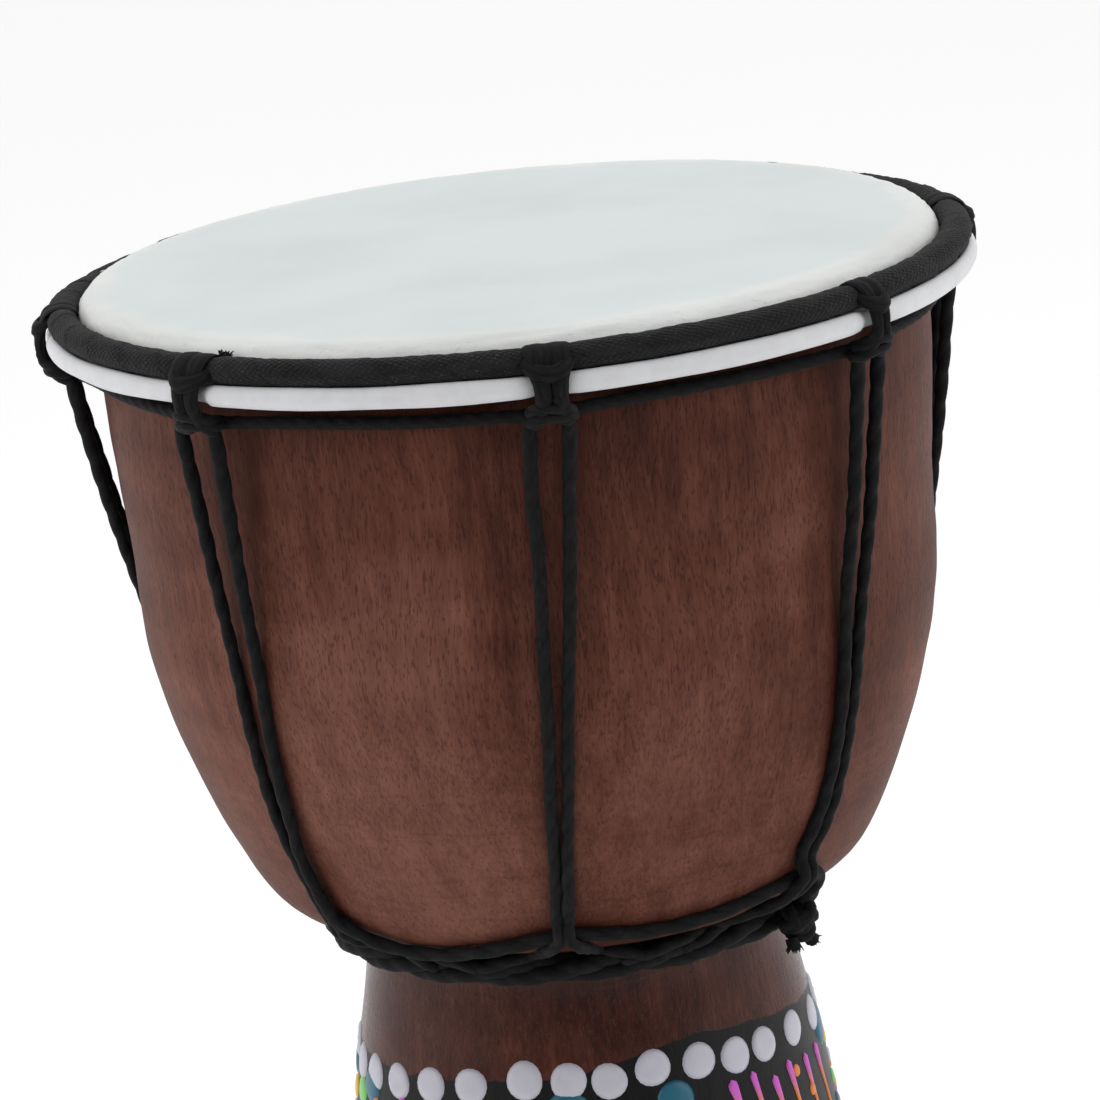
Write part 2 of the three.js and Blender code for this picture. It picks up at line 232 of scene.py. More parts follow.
def rope(build, path, radius, sides=14, lobes=3, pitch=4.6, amp=0.12, step=0.45, closed=False,
         start=1.0, end=1.0, mat=0, seed=0, squash=None, cut=False):
    """A laid cord: a tube whose section has lobes that wind round as it runs."""
    p, length = respace(path, step, closed)
    n = len(p)
    t, a, b = frames(p, closed)
    s = np.linspace(0, length, n + 1)[: n] if closed else np.linspace(0, length, n)
    th = np.linspace(0, TAU, sides, endpoint=False)
    twist = np.zeros(n)
    turns = length / pitch
    if closed:
        va = a[-1] - t[0] * np.dot(a[-1], t[0])
        va /= np.linalg.norm(va)
        off = math.atan2(np.dot(va, b[0]), np.dot(va, a[0]))
        twist = -off * s / length
        turns = round(turns * lobes) / lobes
    phase = TAU * turns * s / length
    R = np.full(n, float(radius)) if np.isscalar(radius) else np.interp(s / length, np.linspace(0, 1, len(radius)), radius)
    g = np.random.default_rng(seed + 11)
    wob = sum(g.uniform(0.3, 1) * np.sin(TAU * s / length * g.integers(2, 9) + g.uniform(0, TAU)) for _ in range(4))
    R = R * (1 + 0.018 * wob)
    q = th[None, :] - phase[:, None]
    rad = R[:, None] * (1 - amp + amp * 1.35 * np.abs(np.cos(lobes / 2 * q)) ** 0.75)
    ang = th[None, :] + twist[:, None]
    ca, sa = np.cos(ang) * rad, np.sin(ang) * rad
    if squash is not None:  # (direction array or vector, factor): flattened towards a surface
        direction, factor = squash
        d = np.broadcast_to(np.asarray(direction, float), p.shape)
        off3 = ca[..., None] * a[:, None] + sa[..., None] * b[:, None]
        along = np.einsum("ijk,ik->ij", off3, d)[..., None] * d[:, None]
        pts = p[:, None] + off3 - along * (1 - factor)
    else:
        pts = p[:, None] + ca[..., None] * a[:, None] + sa[..., None] * b[:, None]
    us = np.append(s, length)
    vs = np.linspace(0, 1, sides + 1)
    # the lay coordinate follows the strands; nothing reads it
    lay = (np.broadcast_to(th[None, :] / TAU, (n, sides)) - phase[:, None] / TAU) * lobes
    groove = np.abs(np.cos(lobes / 2 * q)) ** 0.75
    if closed:
        build.grid(pts, True, True, us, vs, mat, flip=True, groove=groove)
        return
    # rounded or cut ends
    rings = [pts]
    g1 = [groove]

    def cap(at, sign, amount):
        out, gr = [], []
        c = p[at]
        for k, f in ((1, 0.92), (2, 0.7), (3, 0.36)) if not cut else ((1, 0.97), (2, 0.55), (3, 0.2)):
            bulge = radius if np.isscalar(radius) else R[at]
            h = (math.sqrt(1 - f * f) if not cut else 0.04 * k) * bulge * amount
            out.append(c + (pts[at] - c) * f + t[at] * sign * h)
            gr.append(groove[at] * (0.6 if cut else 1))
        return out, gr

    head, gh = cap(0, -1, start)
    tail, gt = cap(-1, 1, end)
    full = np.concatenate([np.array(head[::-1]), pts, np.array(tail)])
    gro = np.concatenate([np.array(gh[::-1]), groove, np.array(gt)])
    us = np.concatenate([[us[0]] * 3, us[:-1], [us[-1]] * 4])
    base = build.n
    build.grid(full, False, True, us, vs, mat, flip=True, groove=gro)
    m = len(full)
    c0, c1 = full[0].mean(0), full[-1].mean(0)
    nn = sides
    build.add([c0, c1], [], groove=np.array([0.5, 0.5]))
    k0, k1 = build.n - 2, build.n - 1
    for j in range(nn):
        j2 = (j + 1) % nn
        build.f.append([base + j, base + j2, k0])
        build.f.append([base + (m - 1) * nn + j2, base + (m - 1) * nn + j, k1])
        build.mat += [mat, mat]
        build.uv += [[(us[0], vs[j])] * 3, [(us[-1], vs[j])] * 3]


# ------------------------------------------------------------------ materials
class Mat:
    def __init__(self, name):
        self.m = bpy.data.materials.new(name)
        self.m.use_nodes = True
        self.nt = self.m.node_tree
        self.nt.nodes.clear()
        self.out = self.node("ShaderNodeOutputMaterial")
        self.b = self.node("ShaderNodeBsdfPrincipled")
        self.link(self.b.outputs[0], self.out.inputs[0])

    def node(self, kind, **kw):
        n = self.nt.nodes.new(kind)
        for k, v in kw.items():
            setattr(n, k, v)
        return n

    def link(self, a, b):
        self.nt.links.new(a, b)

    def put(self, sock, v):
        if hasattr(v, "is_output"):
            self.link(v, sock)
        elif isinstance(v, (tuple, list)) and len(v) == 3 and sock.type == "RGBA":
            sock.default_value = (*v, 1)
        else:
            sock.default_value = v

    def set(self, name, v):
        self.put(self.b.inputs[name], v)

    def obj(self):
        return self.node("ShaderNodeTexCoord").outputs["Object"]

    def uv(self):
        return self.node("ShaderNodeUVMap", uv_map="tex").outputs[0]

    def attr(self, name, what="Fac"):
        return self.node("ShaderNodeAttribute", attribute_name=name).outputs[what]

    def map(self, vec, scale, loc=(0, 0, 0)):
        n = self.node("ShaderNodeMapping")
        self.link(vec, n.inputs[0])
        n.inputs["Scale"].default_value = scale
        n.inputs["Location"].default_value = loc
        return n.outputs[0]

    def noise(self, vec, scale=1.0, detail=3.0, rough=0.5, distort=0.0, out="Fac"):
        n = self.node("ShaderNodeTexNoise")
        self.link(vec, n.inputs["Vector"])
        n.inputs["Scale"].default_value = scale
        n.inputs["Detail"].default_value = detail
        n.inputs["Roughness"].default_value = rough
        n.inputs["Distortion"].default_value = distort
        return n.outputs[0 if out == "Fac" else 1]

    def voronoi(self, vec, scale=1.0, feature="F1", out=0, rand=1.0):
        n = self.node("ShaderNodeTexVoronoi", feature=feature)
        self.link(vec, n.inputs["Vector"])
        n.inputs["Scale"].default_value = scale
        n.inputs["Randomness"].default_value = rand
        return n.outputs[out]

    def ramp(self, fac, stops, mode="LINEAR"):
        n = self.node("ShaderNodeValToRGB")
        n.color_ramp.interpolation = mode
        e = n.color_ramp.elements
        while len(e) < len(stops):
            e.new(0.5)
        for el, (pos, col) in zip(e, stops):
            el.position = pos
            el.color = (*col, 1) if len(col) == 3 else col
        self.link(fac, n.inputs[0])
        return n.outputs[0]

    def range(self, v, a, b, c=0.0, d=1.0, smooth=False):
        n = self.node("ShaderNodeMapRange", interpolation_type="SMOOTHSTEP" if smooth else "LINEAR")
        self.put(n.inputs[0], v)
        for i, x in enumerate((a, b, c, d)):
            n.inputs[i + 1].default_value = x
        return n.outputs[0]

    def math(self, op, a, b=None, c=None, clamp=False):
        n = self.node("ShaderNodeMath", operation=op, use_clamp=clamp)
        self.put(n.inputs[0], a)
        if b is not None:
            self.put(n.inputs[1], b)
        if c is not None:
            self.put(n.inputs[2], c)
        return n.outputs[0]

    def mix(self, fac, a, b, blend="MIX"):
        n = self.node("ShaderNodeMix", data_type="RGBA", blend_type=blend)
        self.put(n.inputs[0], fac)
        for s, v in ((n.inputs[6], a), (n.inputs[7], b)):
            self.put(s, v)
        return n.outputs[2]

    def mixf(self, fac, a, b):
        n = self.node("ShaderNodeMix", data_type="FLOAT")
        self.put(n.inputs[0], fac)
        self.put(n.inputs[2], a)
        self.put(n.inputs[3], b)
        return n.outputs[0]

    def split(self, vec):
        n = self.node("ShaderNodeSeparateXYZ")
        self.link(vec, n.inputs[0])
        return n.outputs

    def join(self, x, y, z):
        n = self.node("ShaderNodeCombineXYZ")
        for s, v in zip(n.inputs, (x, y, z)):
            self.put(s, v)
        return n.outputs[0]

    def vadd(self, a, b, scale=1.0):
        m = self.node("ShaderNodeVectorMath", operation="SCALE")
        self.link(b, m.inputs[0])
        m.inputs["Scale"].default_value = scale
        n = self.node("ShaderNodeVectorMath", operation="ADD")
        self.link(a, n.inputs[0])
        self.link(m.outputs[0], n.inputs[1])
        return n.outputs[0]

    def bump(self, height, strength, dist, normal=None):
        n = self.node("ShaderNodeBump")
        n.inputs["Strength"].default_value = strength
        n.inputs["Distance"].default_value = dist
        self.link(height, n.inputs["Height"])
        if normal is not None:
            self.link(normal, n.inputs["Normal"])
        return n.outputs[0]


def wood(name, inside=False):
    w = Mat(name)
    p = w.obj()
    # slow wander of the grain
    warp = w.noise(p, 38, 2, 0.5, out="Color")
    q = w.vadd(p, warp, 0.004)
    z = w.split(p)[2]
    broad = w.noise(w.map(q, (1, 1, 0.55)), 34, 3, 0.55)
    streak = w.noise(w.map(q, (430, 430, 55)), 1, 4, 0.62)
    fibre = w.noise(w.map(q, (2600, 2600, 260)), 1, 3, 0.6)
    lean = w.join(w.split(q)[0], w.split(q)[1], w.math("ADD", w.split(q)[2], w.math("MULTIPLY", w.split(q)[0], 0.10)))
    pores = w.noise(w.map(lean, (4300, 4300, 900)), 1, 1.5, 0.45)
    patch = w.noise(p, 75, 2, 0.5)
    pore = w.range(w.math("ADD", pores, w.math("MULTIPLY", w.math("SUBTRACT", patch, 0.5), 0.16)), 0.575, 0.665, 0, 1, True)
    speck = w.range(w.noise(w.map(q, (1500, 1500, 260)), 1, 3, 0.6), 0.60, 0.76, 0, 1, True)
    tone = w.math("ADD", w.math("MULTIPLY", broad, 0.60), w.math("MULTIPLY", streak, 0.40))
    tone = w.math("ADD", tone, w.math("MULTIPLY", w.math("SUBTRACT", fibre, 0.5), 0.34))
    if not inside:
        # the shell's tone attribute adds random mottling, stains, a painted sheen and painted shade
        tone = w.math("ADD", tone, w.attr("tone"))
        col = w.ramp(tone, [(0.26, (0.030, 0.0085, 0.0055)), (0.42, (0.066, 0.0195, 0.0120)), (0.55, (0.104, 0.0350, 0.0225)), (0.70, (0.156, 0.0590, 0.0400)), (0.86, (0.215, 0.0900, 0.0640))])
    else:
        col = w.ramp(tone, [(0.28, (0.090, 0.036, 0.020)), (0.45, (0.180, 0.082, 0.046)), (0.58, (0.26, 0.125, 0.072)), (0.72, (0.34, 0.175, 0.105))])
    col = w.mix(w.math("MULTIPLY", pore, w.range(z, 0.140, 0.172, 0.25, 0.44, True)), col, (0.018, 0.0062, 0.0045))
    col = w.mix(w.math("MULTIPLY", speck, 0.25), col, (0.022, 0.008, 0.006))
    height = w.math("ADD", w.math("MULTIPLY", pore, -0.9), w.math("MULTIPLY", fibre, 0.35))
    rings = w.noise(w.map(w.vadd(q, w.noise(p, 160, 2, 0.5, out="Color"), 0.0012), (70, 70, 1300)), 1, 3, 0.6)
    if not inside:
        # sanding and turning marks, strongest on the lower belly
        low = w.math("MULTIPLY", w.range(z, 0.158, 0.142, 0, 1, True), w.range(z, 0.118, 0.124, 0, 1, True))
        marks = w.math("MULTIPLY", w.math("SUBTRACT", rings, 0.5), w.math("ADD", w.math("MULTIPLY", low, 0.45), 0.16))
        col = w.mix(w.math("MULTIPLY", w.range(marks, 0.03, 0.26, 0, 1), 0.45), col, (0.185, 0.078, 0.052))
        col = w.mix(w.math("MULTIPLY", w.range(marks, -0.03, -0.26, 0, 1), 0.45), col, (0.032, 0.0095, 0.0065))
        height = w.math("ADD", height, w.math("MULTIPLY", marks, 1.1))
        # painted shade, partly dirt and thicker varnish, beside the cords, below the hoop and in the corners, broken up
        # by noise
        dirt = w.attr("dirt")
        dirt = w.math("MULTIPLY", dirt, w.range(w.noise(p, 260, 3, 0.6), 0.30, 0.62, 0.45, 1.0))
        col = w.mix(dirt, col, (0.040, 0.0098, 0.0048))
        rough = w.mixf(w.range(z, 0.126, 0.120, 0, 1, True), 0.56, 0.24)
        rough = w.math("ADD", rough, w.math("MULTIPLY", w.math("SUBTRACT", streak, 0.5), 0.22))
        # the painted band: black paint brushed up to a wavering edge
        x, y, _ = w.split(p)
        edge = w.math("ADD", w.math("MULTIPLY", w.noise(p, 95, 2, 0.5), 0.0026), w.math("MULTIPLY", w.noise(p, 900, 2, 0.6), 0.0005))
        band = w.math("SUBTRACT", w.math("ADD", w.attr("band"), w.math("SUBTRACT", edge, 0.00155)), z)
        band = w.range(band, -0.00008, 0.00008, 0, 1)
        foot = w.range(z, 0.0042, 0.0046, 0, 1)
        band = w.math("MULTIPLY", band, foot)
        black = w.mix(w.range(w.noise(w.map(p, (900, 900, 60)), 1, 3, 0.6), 0.35, 0.75, 0, 1), (0.0040, 0.0040, 0.0045), (0.0085, 0.0080, 0.0080))
        col = w.mix(band, col, black)
        rough = w.mixf(band, rough, 0.38)
        height = w.mixf(w.math("MULTIPLY", band, 0.75), height, 0.3)
        height = w.math("ADD", height, w.math("MULTIPLY", band, 0.5))
        w.set("Specular IOR Level", w.mixf(w.range(z, 0.126, 0.120, 0, 1, True), 0.09, 0.17))
    else:
        gouge = w.noise(w.map(p, (160, 160, 46)), 1, 1, 0.4)
        height = w.math("ADD", height, w.math("MULTIPLY", gouge, 3.0))
        rough = w.math("ADD", w.math("MULTIPLY", streak, 0.2), 0.68)
        w.set("Specular IOR Level", 0.25)
    w.set("Base Color", col)
    w.set("Roughness", rough)
    w.set("Normal", w.bump(height, 0.55, 0.00012))
    return w.m


def skin_material():
    w = Mat("rawhide")
    p = w.obj()
    cloud = w.noise(p, 42, 3, 0.5)
    fine = w.noise(p, 420, 4, 0.6)
    fibre = w.noise(w.map(w.vadd(p, w.noise(p, 90, 2, 0.5, out="Color"), 0.006), (900, 3800, 900)), 1, 3, 0.6)
    edge = w.attr("edge")  # 0 over the open middle, 1 at the fold and beyond
    face = w.ramp(cloud, [(0.30, (0.632, 0.684, 0.684)), (0.52, (0.672, 0.724, 0.722)), (0.75, (0.694, 0.740, 0.730))])
    rim = w.ramp(cloud, [(0.30, (0.690, 0.698, 0.672)), (0.55, (0.765, 0.775, 0.757)), (0.75, (0.82, 0.832, 0.82))])
    fold = w.ramp(fine, [(0.3, (0.655, 0.655, 0.675)), (0.7, (0.72, 0.725, 0.74))])
    e = w.math("ADD", edge, w.math("MULTIPLY", w.math("SUBTRACT", fine, 0.5), 0.5), clamp=True)
    patchy = w.math("ADD", e, w.math("MULTIPLY", w.math("SUBTRACT", w.noise(p, 130, 4, 0.65), 0.5), 1.3))
    col = w.mix(w.math("MULTIPLY", w.range(patchy, 0.30, 1.10, 0, 1, True), w.range(edge, 0.0, 0.12, 0, 1)), face, rim)
    col = w.mix(w.attr("fold"), col, fold)
    col = w.mix(w.math("MULTIPLY", w.range(fibre, 0.60, 0.74, 0, 1), w.math("MULTIPLY", w.attr("crease"), 0.55)), col, (0.42, 0.38, 0.31))
    col = w.mix(w.math("MULTIPLY", w.range(fine, 0.66, 0.8, 0, 1), 0.10), col, (0.42, 0.44, 0.38))
    w.set("Base Color", col)
    w.set("Roughness", w.math("ADD", w.math("MULTIPLY", fine, 0.18), 0.47))
    w.set("Specular IOR Level", 0.32)
    w.set("Subsurface Weight", 0.10)
    w.set("Subsurface Radius", (0.0012, 0.0009, 0.0006))
    w.set("Subsurface Scale", 1.0)
    h = w.math("ADD", w.math("MULTIPLY", fine, 0.5), w.math("MULTIPLY", fibre, w.math("ADD", w.math("MULTIPLY", w.attr("crease"), 1.6), 0.25)))
    w.set("Normal", w.bump(h, 0.35, 0.00010))
    return w.m


def cloth_material():
    """Black ribbon wound round the ring: a plain weave with a few paler threads."""
    w = Mat("black_ribbon")
    uv = w.uv()
    u, v, _ = w.split(uv)
    wob = w.noise(w.map(uv, (0.7, 0.9, 1)), 1, 2, 0.5)
    u = w.math("ADD", u, w.math("MULTIPLY", wob, 1.1))
    warp_ = w.math("SINE", w.math("MULTIPLY", w.math("ADD", u, w.math("MULTIPLY", v, 0.35)), TAU / 0.84))
    weft = w.math("SINE", w.math("MULTIPLY", w.math("SUBTRACT", v, w.math("MULTIPLY", u, 0.12)), TAU / 0.66))
    weave = w.math("MULTIPLY", warp_, weft)
    weave01 = w.math("ADD", w.math("MULTIPLY", weave, 0.5), 0.5)
    n1 = w.noise(w.map(uv, (2.3, 3.0, 1)), 1, 2, 0.6)
    n2 = w.noise(w.map(uv, (0.16, 0.5, 1)), 1, 3, 0.5)
    lum = w.math("MULTIPLY", w.range(weave01, 0.55, 1.0, 0, 1), w.range(n1, 0.50, 0.72, 0.1, 1.0))
    col = w.mix(w.range(n2, 0.35, 0.7, 0, 1), (0.0095, 0.0092, 0.0098), (0.0200, 0.0195, 0.0210))
    col = w.mix(w.math("MULTIPLY", w.math("MULTIPLY", lum, w.range(w.noise(w.map(uv, (0.5, 0.6, 1)), 1, 2, 0.6), 0.38, 0.66, 0.1, 1.0)), 0.75), col, (0.100, 0.097, 0.105))
    col = w.mix(w.attr("seam"), col, (0.003, 0.003, 0.003))
    w.set("Base Color", col)
    w.set("Roughness", 0.82)
    w.set("Specular IOR Level", 0.12)
    w.set("Sheen Weight", 0.04)
    w.set("Sheen Roughness", 0.5)
    h = w.math("ADD", weave01, w.math("MULTIPLY", n1, 1.2))
    w.set("Normal", w.bump(h, 0.9, 0.00014))
    return w.m


def cord_material(name="black_cord", lift=1.0):
    """Black twisted cord: fibres along the strands, dusty on the crests, painted shade in the grooves."""
    w = Mat(name)
    uv = w.uv()
    p = w.obj()
    fib = w.noise(w.map(uv, (0.9, 26, 1)), 1, 3, 0.6)
    dust = w.noise(p, 700, 3, 0.6)
    groove = w.attr("groove")
    col = w.mix(w.range(fib, 0.3, 0.75, 0, 1), (0.0045 * lift, 0.0045 * lift, 0.0048 * lift), (0.0125 * lift, 0.0122 * lift, 0.0130 * lift))
    col = w.mix(w.math("MULTIPLY", w.math("MULTIPLY", w.range(dust, 0.5, 0.75, 0, 1), groove), 0.30), col, (0.036, 0.035, 0.036))
    # painted shade: darker in the grooves between the strands
    col = w.mix(w.range(groove, 0.55, 0.05, 0, 0.75), col, (0.002, 0.002, 0.002))
    w.set("Base Color", col)
    w.set("Roughness", 0.74)
    w.set("Specular IOR Level", 0.10)
    w.set("Sheen Weight", 0.02)
    w.set("Sheen Roughness", 0.45)
    w.set("Normal", w.bump(fib, 0.6, 0.00007))
    return w.m


def paint_material(name="raised_paint"):
    w = Mat(name)
    p = w.obj()
    n = w.noise(p, 420, 3, 0.5)
    n2 = w.noise(p, 1900, 3, 0.6)
    base = w.attr("paint", "Color")
    col = w.mix(w.range(n, 0.35, 0.75, 0.0, 0.16), base, (0.30, 0.30, 0.33), "MULTIPLY")
    w.set("Base Color", col)
    w.set("Roughness", w.math("ADD", w.math("MULTIPLY", n2, 0.14), 0.30))
    w.set("Specular IOR Level", 0.4)
    w.set("Normal", w.bump(n2, 0.18, 0.00008))
    return w.m


def steel_material():
    w = Mat("steel_wire")
    p = w.obj()
    n = w.noise(w.map(p, (300, 300, 4000)), 1, 3, 0.6)
    w.set("Base Color", w.mix(n, (0.30, 0.30, 0.31), (0.52, 0.52, 0.53)))
    w.set("Metallic", 1.0)
    w.set("Roughness", w.math("ADD", w.math("MULTIPLY", n, 0.25), 0.28))
    w.set("Normal", w.bump(n, 0.2, 0.00005))
    return w.m


WOOD, WOOD_IN = wood("mahogany_varnished"), wood("mahogany_bare", True)
SKIN, CLOTH, CORD, PAINT, STEEL = skin_material(), cloth_material(), cord_material(), paint_material(), steel_material()
for node in ("flesh_hoop", "crown_ring_core", "waist_ring_core"):
    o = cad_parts[node]
    for s in o.material_slots:
        s.material = STEEL

# ------------------------------------------------------------------ shell
OUTER = [
    [45.0, 199.3], [46.2, 198.9], [46.6, 197.6], [46.6, 188.0], [46.2, 180.0],
    [45.4, 170.0], [44.9, 159.0], [42.7, 149.0], [40.0, 141.0], [37.45, 135.0], [34.7, 130.0],
    [32.6, 128.0], [30.0, 126.6], [27.2, 125.4], [25.3, 124.3], [24.4, 122.4], [24.4, 119.5],
    [26.2, 109.0], [28.0, 96.7], [30.3, 76.0], [33.0, 48.0], [36.4, 18.0], [38.2, 5.0],
    [38.4, 2.2], [37.2, 0.0],
]
INNER = [
    [31.4, 0.0], [30.4, 6.0], [27.4, 28.0], [23.0, 62.0],
    [19.2, 93.0], [17.4, 112.0], [17.3, 121.0], [19.6, 130.0],
    [26.0, 138.0], [32.0, 146.0], [35.8, 154.5], [38.0, 166.0],
    [40.0, 190.0], [41.6, 196.6], [43.8, 199.0], [45.0, 199.3],
]
outer_line, _ = respace(catmull(OUTER, 16), 1.15)
inner_line, _ = respace(catmull(INNER, 14), 3.2)
outer_fine = catmull(OUTER, 40)
neck = outer_fine[outer_fine[:, 1] < 120.0][::-1]  # ascending height


def wood_r(z):
    """Outer radius of the wood anywhere below the bearing edge and clear of the waist corner's overhang."""
    return np.interp(z, outer_fine[::-1, 1], outer_fine[::-1, 0])


carve1 = waves(3, 7, 1.0, 4.0, integer_first=True)
carve2 = waves(5, 9, 3.0, 11.0, integer_first=True)


def carve(az, z):
    """How far the hand-finished surface strays from true round, in mm."""
    a = np.radians(az)
    live = smoothstep(198, 184, z) * smoothstep(1, 12, z) + 0.0
    neckish = 1 - 0.6 * smoothstep(122, 112, z)
    return live * neckish * (0.13 * carve1(a, np.asarray(z) / 22.0) + 0.035 * carve2(a, np.asarray(z) / 9.0))


def on_shell(az, z, h=0.0):
    """A point h mm above the painted foot's surface."""
    r = wood_r(z)
    dr = (wood_r(np.asarray(z) + 0.4) - wood_r(np.asarray(z) - 0.4)) / 0.8
    k = 1 / np.sqrt(1 + dr * dr)
    return polar(az, r + carve(az, z) + h * k, z - h * dr * k)


N_AZ = 240
az_grid = np.arange(N_AZ) * 360.0 / N_AZ
dots_z = {-79: 107.8, -68: 107.9, -56: 108.2, -43.7: 108.8, -31.4: 109.3, -16.9: 110.2, -5.9: 109.9, 4.1: 109.5, 15.3: 110.2, 27.7: 109.8, 38.6: 109.1, 48.9: 109.0, 62.7: 108.8, 78.5: 108.1}
band_az = np.array([-180, -120, -90, -68, -44, -32, -17, -6, 4, 15, 28, 39, 49, 63, 79, 90, 130, 180], float)
band_z = np.array([109.9, 110.6, 109.4, 109.6, 109.9, 109.3, 110.1, 110.6, 111.0, 112.3, 112.9, 112.6, 112.2, 111.6, 110.8, 110.4, 109.6, 109.9], float)


def band_edge(az):
    a = (np.asarray(az, float) + 180) % 360 - 180
    return np.interp(a, band_az, band_z)


def pair_az(i, z):
    t = np.array(PAIRS[i][::-1], float)
    return np.interp(z, t[:, 0], t[:, 1])


def pair_off(i, z):
    t = np.array(PAIRS[i][::-1], float)
    return np.interp(z, t[:, 0], t[:, 2])


TIE_LINE = [[-42.4, 129.6], [-39.7, 128.6], [-35, 127.7], [-28.7, 127.3], [-19, 128.0], [-10.6, 129.1], [-2.2, 130.0], [5.8, 129.5], [11.2, 129.1],
            [16.6, 129.0], [22.1, 129.2], [27.9, 129.6], [34.2, 130.3], [39, 130.8], [45, 131.2], [49, 130.6], [54, 128.6]]


def build_shell():
    b = Build()
    A = az_grid[:, None]
    ro, zo = outer_line[:, 0][None, :], outer_line[:, 1][None, :]
    P = polar(A, ro + carve(A, zo), zo + 0 * A)
    # painted shade, partly dirt: beside cords, below the hoop, in the waist corner
    dirt = np.zeros(P.shape[:2])
    for i in range(LOOPS):
        c = pair_az(i, zo)
        d = (A - c + 180) % 360 - 180
        s = np.radians(d) * ro
        for sg in (-1, 1):
            e = s - sg * pair_off(i, zo)
            dirt = np.maximum(dirt, 0.55 * np.exp(-((e / 1.15) ** 2)))
        wide = s * 1.0
        # painted cord shadows on the wood: right of the left pair, left of the right pair, faintly right of the centre
        # one
        if i == 1:
            dirt = np.maximum(dirt, 0.62 * np.exp(-(((wide - 4.6) / 1.9) ** 2)) * smoothstep(150, 166, zo))
        elif i == 3:
            dirt = np.maximum(dirt, 0.62 * np.exp(-(((wide + 4.8) / 2.1) ** 2)) * smoothstep(135, 160, zo))
        elif i == 2:
            dirt = np.maximum(dirt, 0.30 * np.exp(-(((wide - 4.0) / 1.6) ** 2)) * smoothstep(160, 175, zo))
    # painted shade below the hoop
    dirt = np.maximum(dirt, 0.75 * smoothstep(189.5, 193.0, zo) * smoothstep(200, 196, zo) + 0 * A)
    # painted shade in the waist corner under the bowl
    corner = np.exp(-(((zo - 124.6) / 1.7) ** 2)) * smoothstep(36, 30, ro)
    dirt = np.maximum(dirt, 0.9 * corner + 0 * A)
    # painted shade along the waist tie cord and in a band round the bowl's underside
    tz = np.array([[t[0], t[1]] for t in TIE_LINE], float)
    Aw = (A + 180) % 360 - 180
    tie_shade_z = np.interp(Aw, tz[:, 0], tz[:, 1]) + 1.15
    dirt = np.maximum(dirt, 0.62 * np.exp(-(((zo - tie_shade_z) / 0.85) ** 2)) * (smoothstep(-46, -40, Aw) * smoothstep(54, 48, Aw)))
    dirt = np.maximum(dirt, 0.5 * np.exp(-(((zo - 128.0) / 1.6) ** 2)) + 0 * A)
    dirt *= smoothstep(113, 119, zo)
    # tone: random mottling, a painted sheen paler low on the belly, painted shade darker high on the bowl, and darker
    # on the neck
    n1, n2 = waves(21, 8, 1.0, 5.0, integer_first=True), waves(22, 10, 3.0, 9.0, integer_first=True)
    a = np.radians(A)
    tone = 0.030 * n1(a, zo / 16.0) + 0.022 * n2(a, zo / 8.0)
    # painted sheen: paler low on the belly
    tone = tone + 0.065 * np.exp(-(((zo - 143) / 13.0) ** 2)) * smoothstep(126, 132, zo)
    # painted shade: a darker patch high on the bowl at the front
    dark = np.exp(-((((A + 180) % 360 - 180 - 12) / 17.0) ** 2)) * np.exp(-(((zo - 181) / 10.0) ** 2))
    tone = tone - 0.045 * dark
    # painted shade darker towards the top of the bowl, and darker on the neck
    tone = tone - 0.030 * smoothstep(165, 190, zo) - 0.135 * smoothstep(124.5, 121, zo)
    # paler and darker clouds, partly painted sheen and painted shade, partly stains in the varnish: azimuth, height,
    # spreads, amount
    for ca, cz, sa, sz, amount in ((-25, 150, 21, 24, 0.23), (-38, 166, 17, 18, 0.15), (16, 184, 6, 6, 0.07), (62, 155, 16, 16, 0.05), (-10, 137, 14, 9, 0.10), (12, 137, 12, 7, 0.08), (40, 176, 9, 11, 0.08),
                                   (20, 158, 14, 9, 0.03), (33, 185, 7, 8, -0.07), (-8, 187, 8, 7, -0.04), (-6, 168, 3.2, 13, -0.13), (5, 166, 4, 8, -0.03), (66, 172, 18, 24, 0.08),
                                   (-58, 172, 10, 30, 0.02), (18, 150, 26, 5, 0.03)):
        da = (A - ca + 180) % 360 - 180
        tone = tone + amount * np.exp(-((da / sa) ** 2)) * np.exp(-(((zo - cz) / sz) ** 2))
    band = (band_edge(A) * MM) + 0 * zo
    b.grid(P[:, ::-1], True, False, np.arange(N_AZ + 1) * 1.0, np.arange(len(outer_line) + 1) * 1.0, 0, flip=True,
           dirt=dirt[:, ::-1], tone=tone[:, ::-1], band=band[:, ::-1])
    n_out = len(outer_line)
    ri, zi = inner_line[:, 0][None, :], inner_line[:, 1][None, :]
    gouge = waves(9, 10, 4.0, 14.0, integer_first=True)
    live = smoothstep(1, 10, zi) * smoothstep(198, 190, zi)
    Q = polar(A, ri + 0.18 * live * gouge(np.radians(A), zi / 9.0), zi + 0 * A)
    n_in = len(inner_line)
    base_in = b.n
    b.grid(Q, True, False, np.arange(N_AZ + 1) * 1.0, np.arange(n_in + 1) * 1.0, 1, flip=False,
           dirt=np.zeros(Q.shape[:2]), tone=np.zeros(Q.shape[:2]), band=np.zeros(Q.shape[:2]))
    # close the foot's resting face; outer rows were stored bottom first
    faces, uvs = [], []
    for i in range(N_AZ):
        i2 = (i + 1) % N_AZ
        o1, o2 = i * n_out, i2 * n_out
        q1, q2 = base_in + i * n_in, base_in + i2 * n_in
        faces.append([o1, q1, q2, o2])
        uvs.append([(0, 0)] * 4)
    b.f += faces
    b.uv += uvs
    b.mat += [1] * len(faces)
    ob = b.mesh("shell_carved", [WOOD, WOOD_IN])
    # weld the bearing edge
    import bmesh

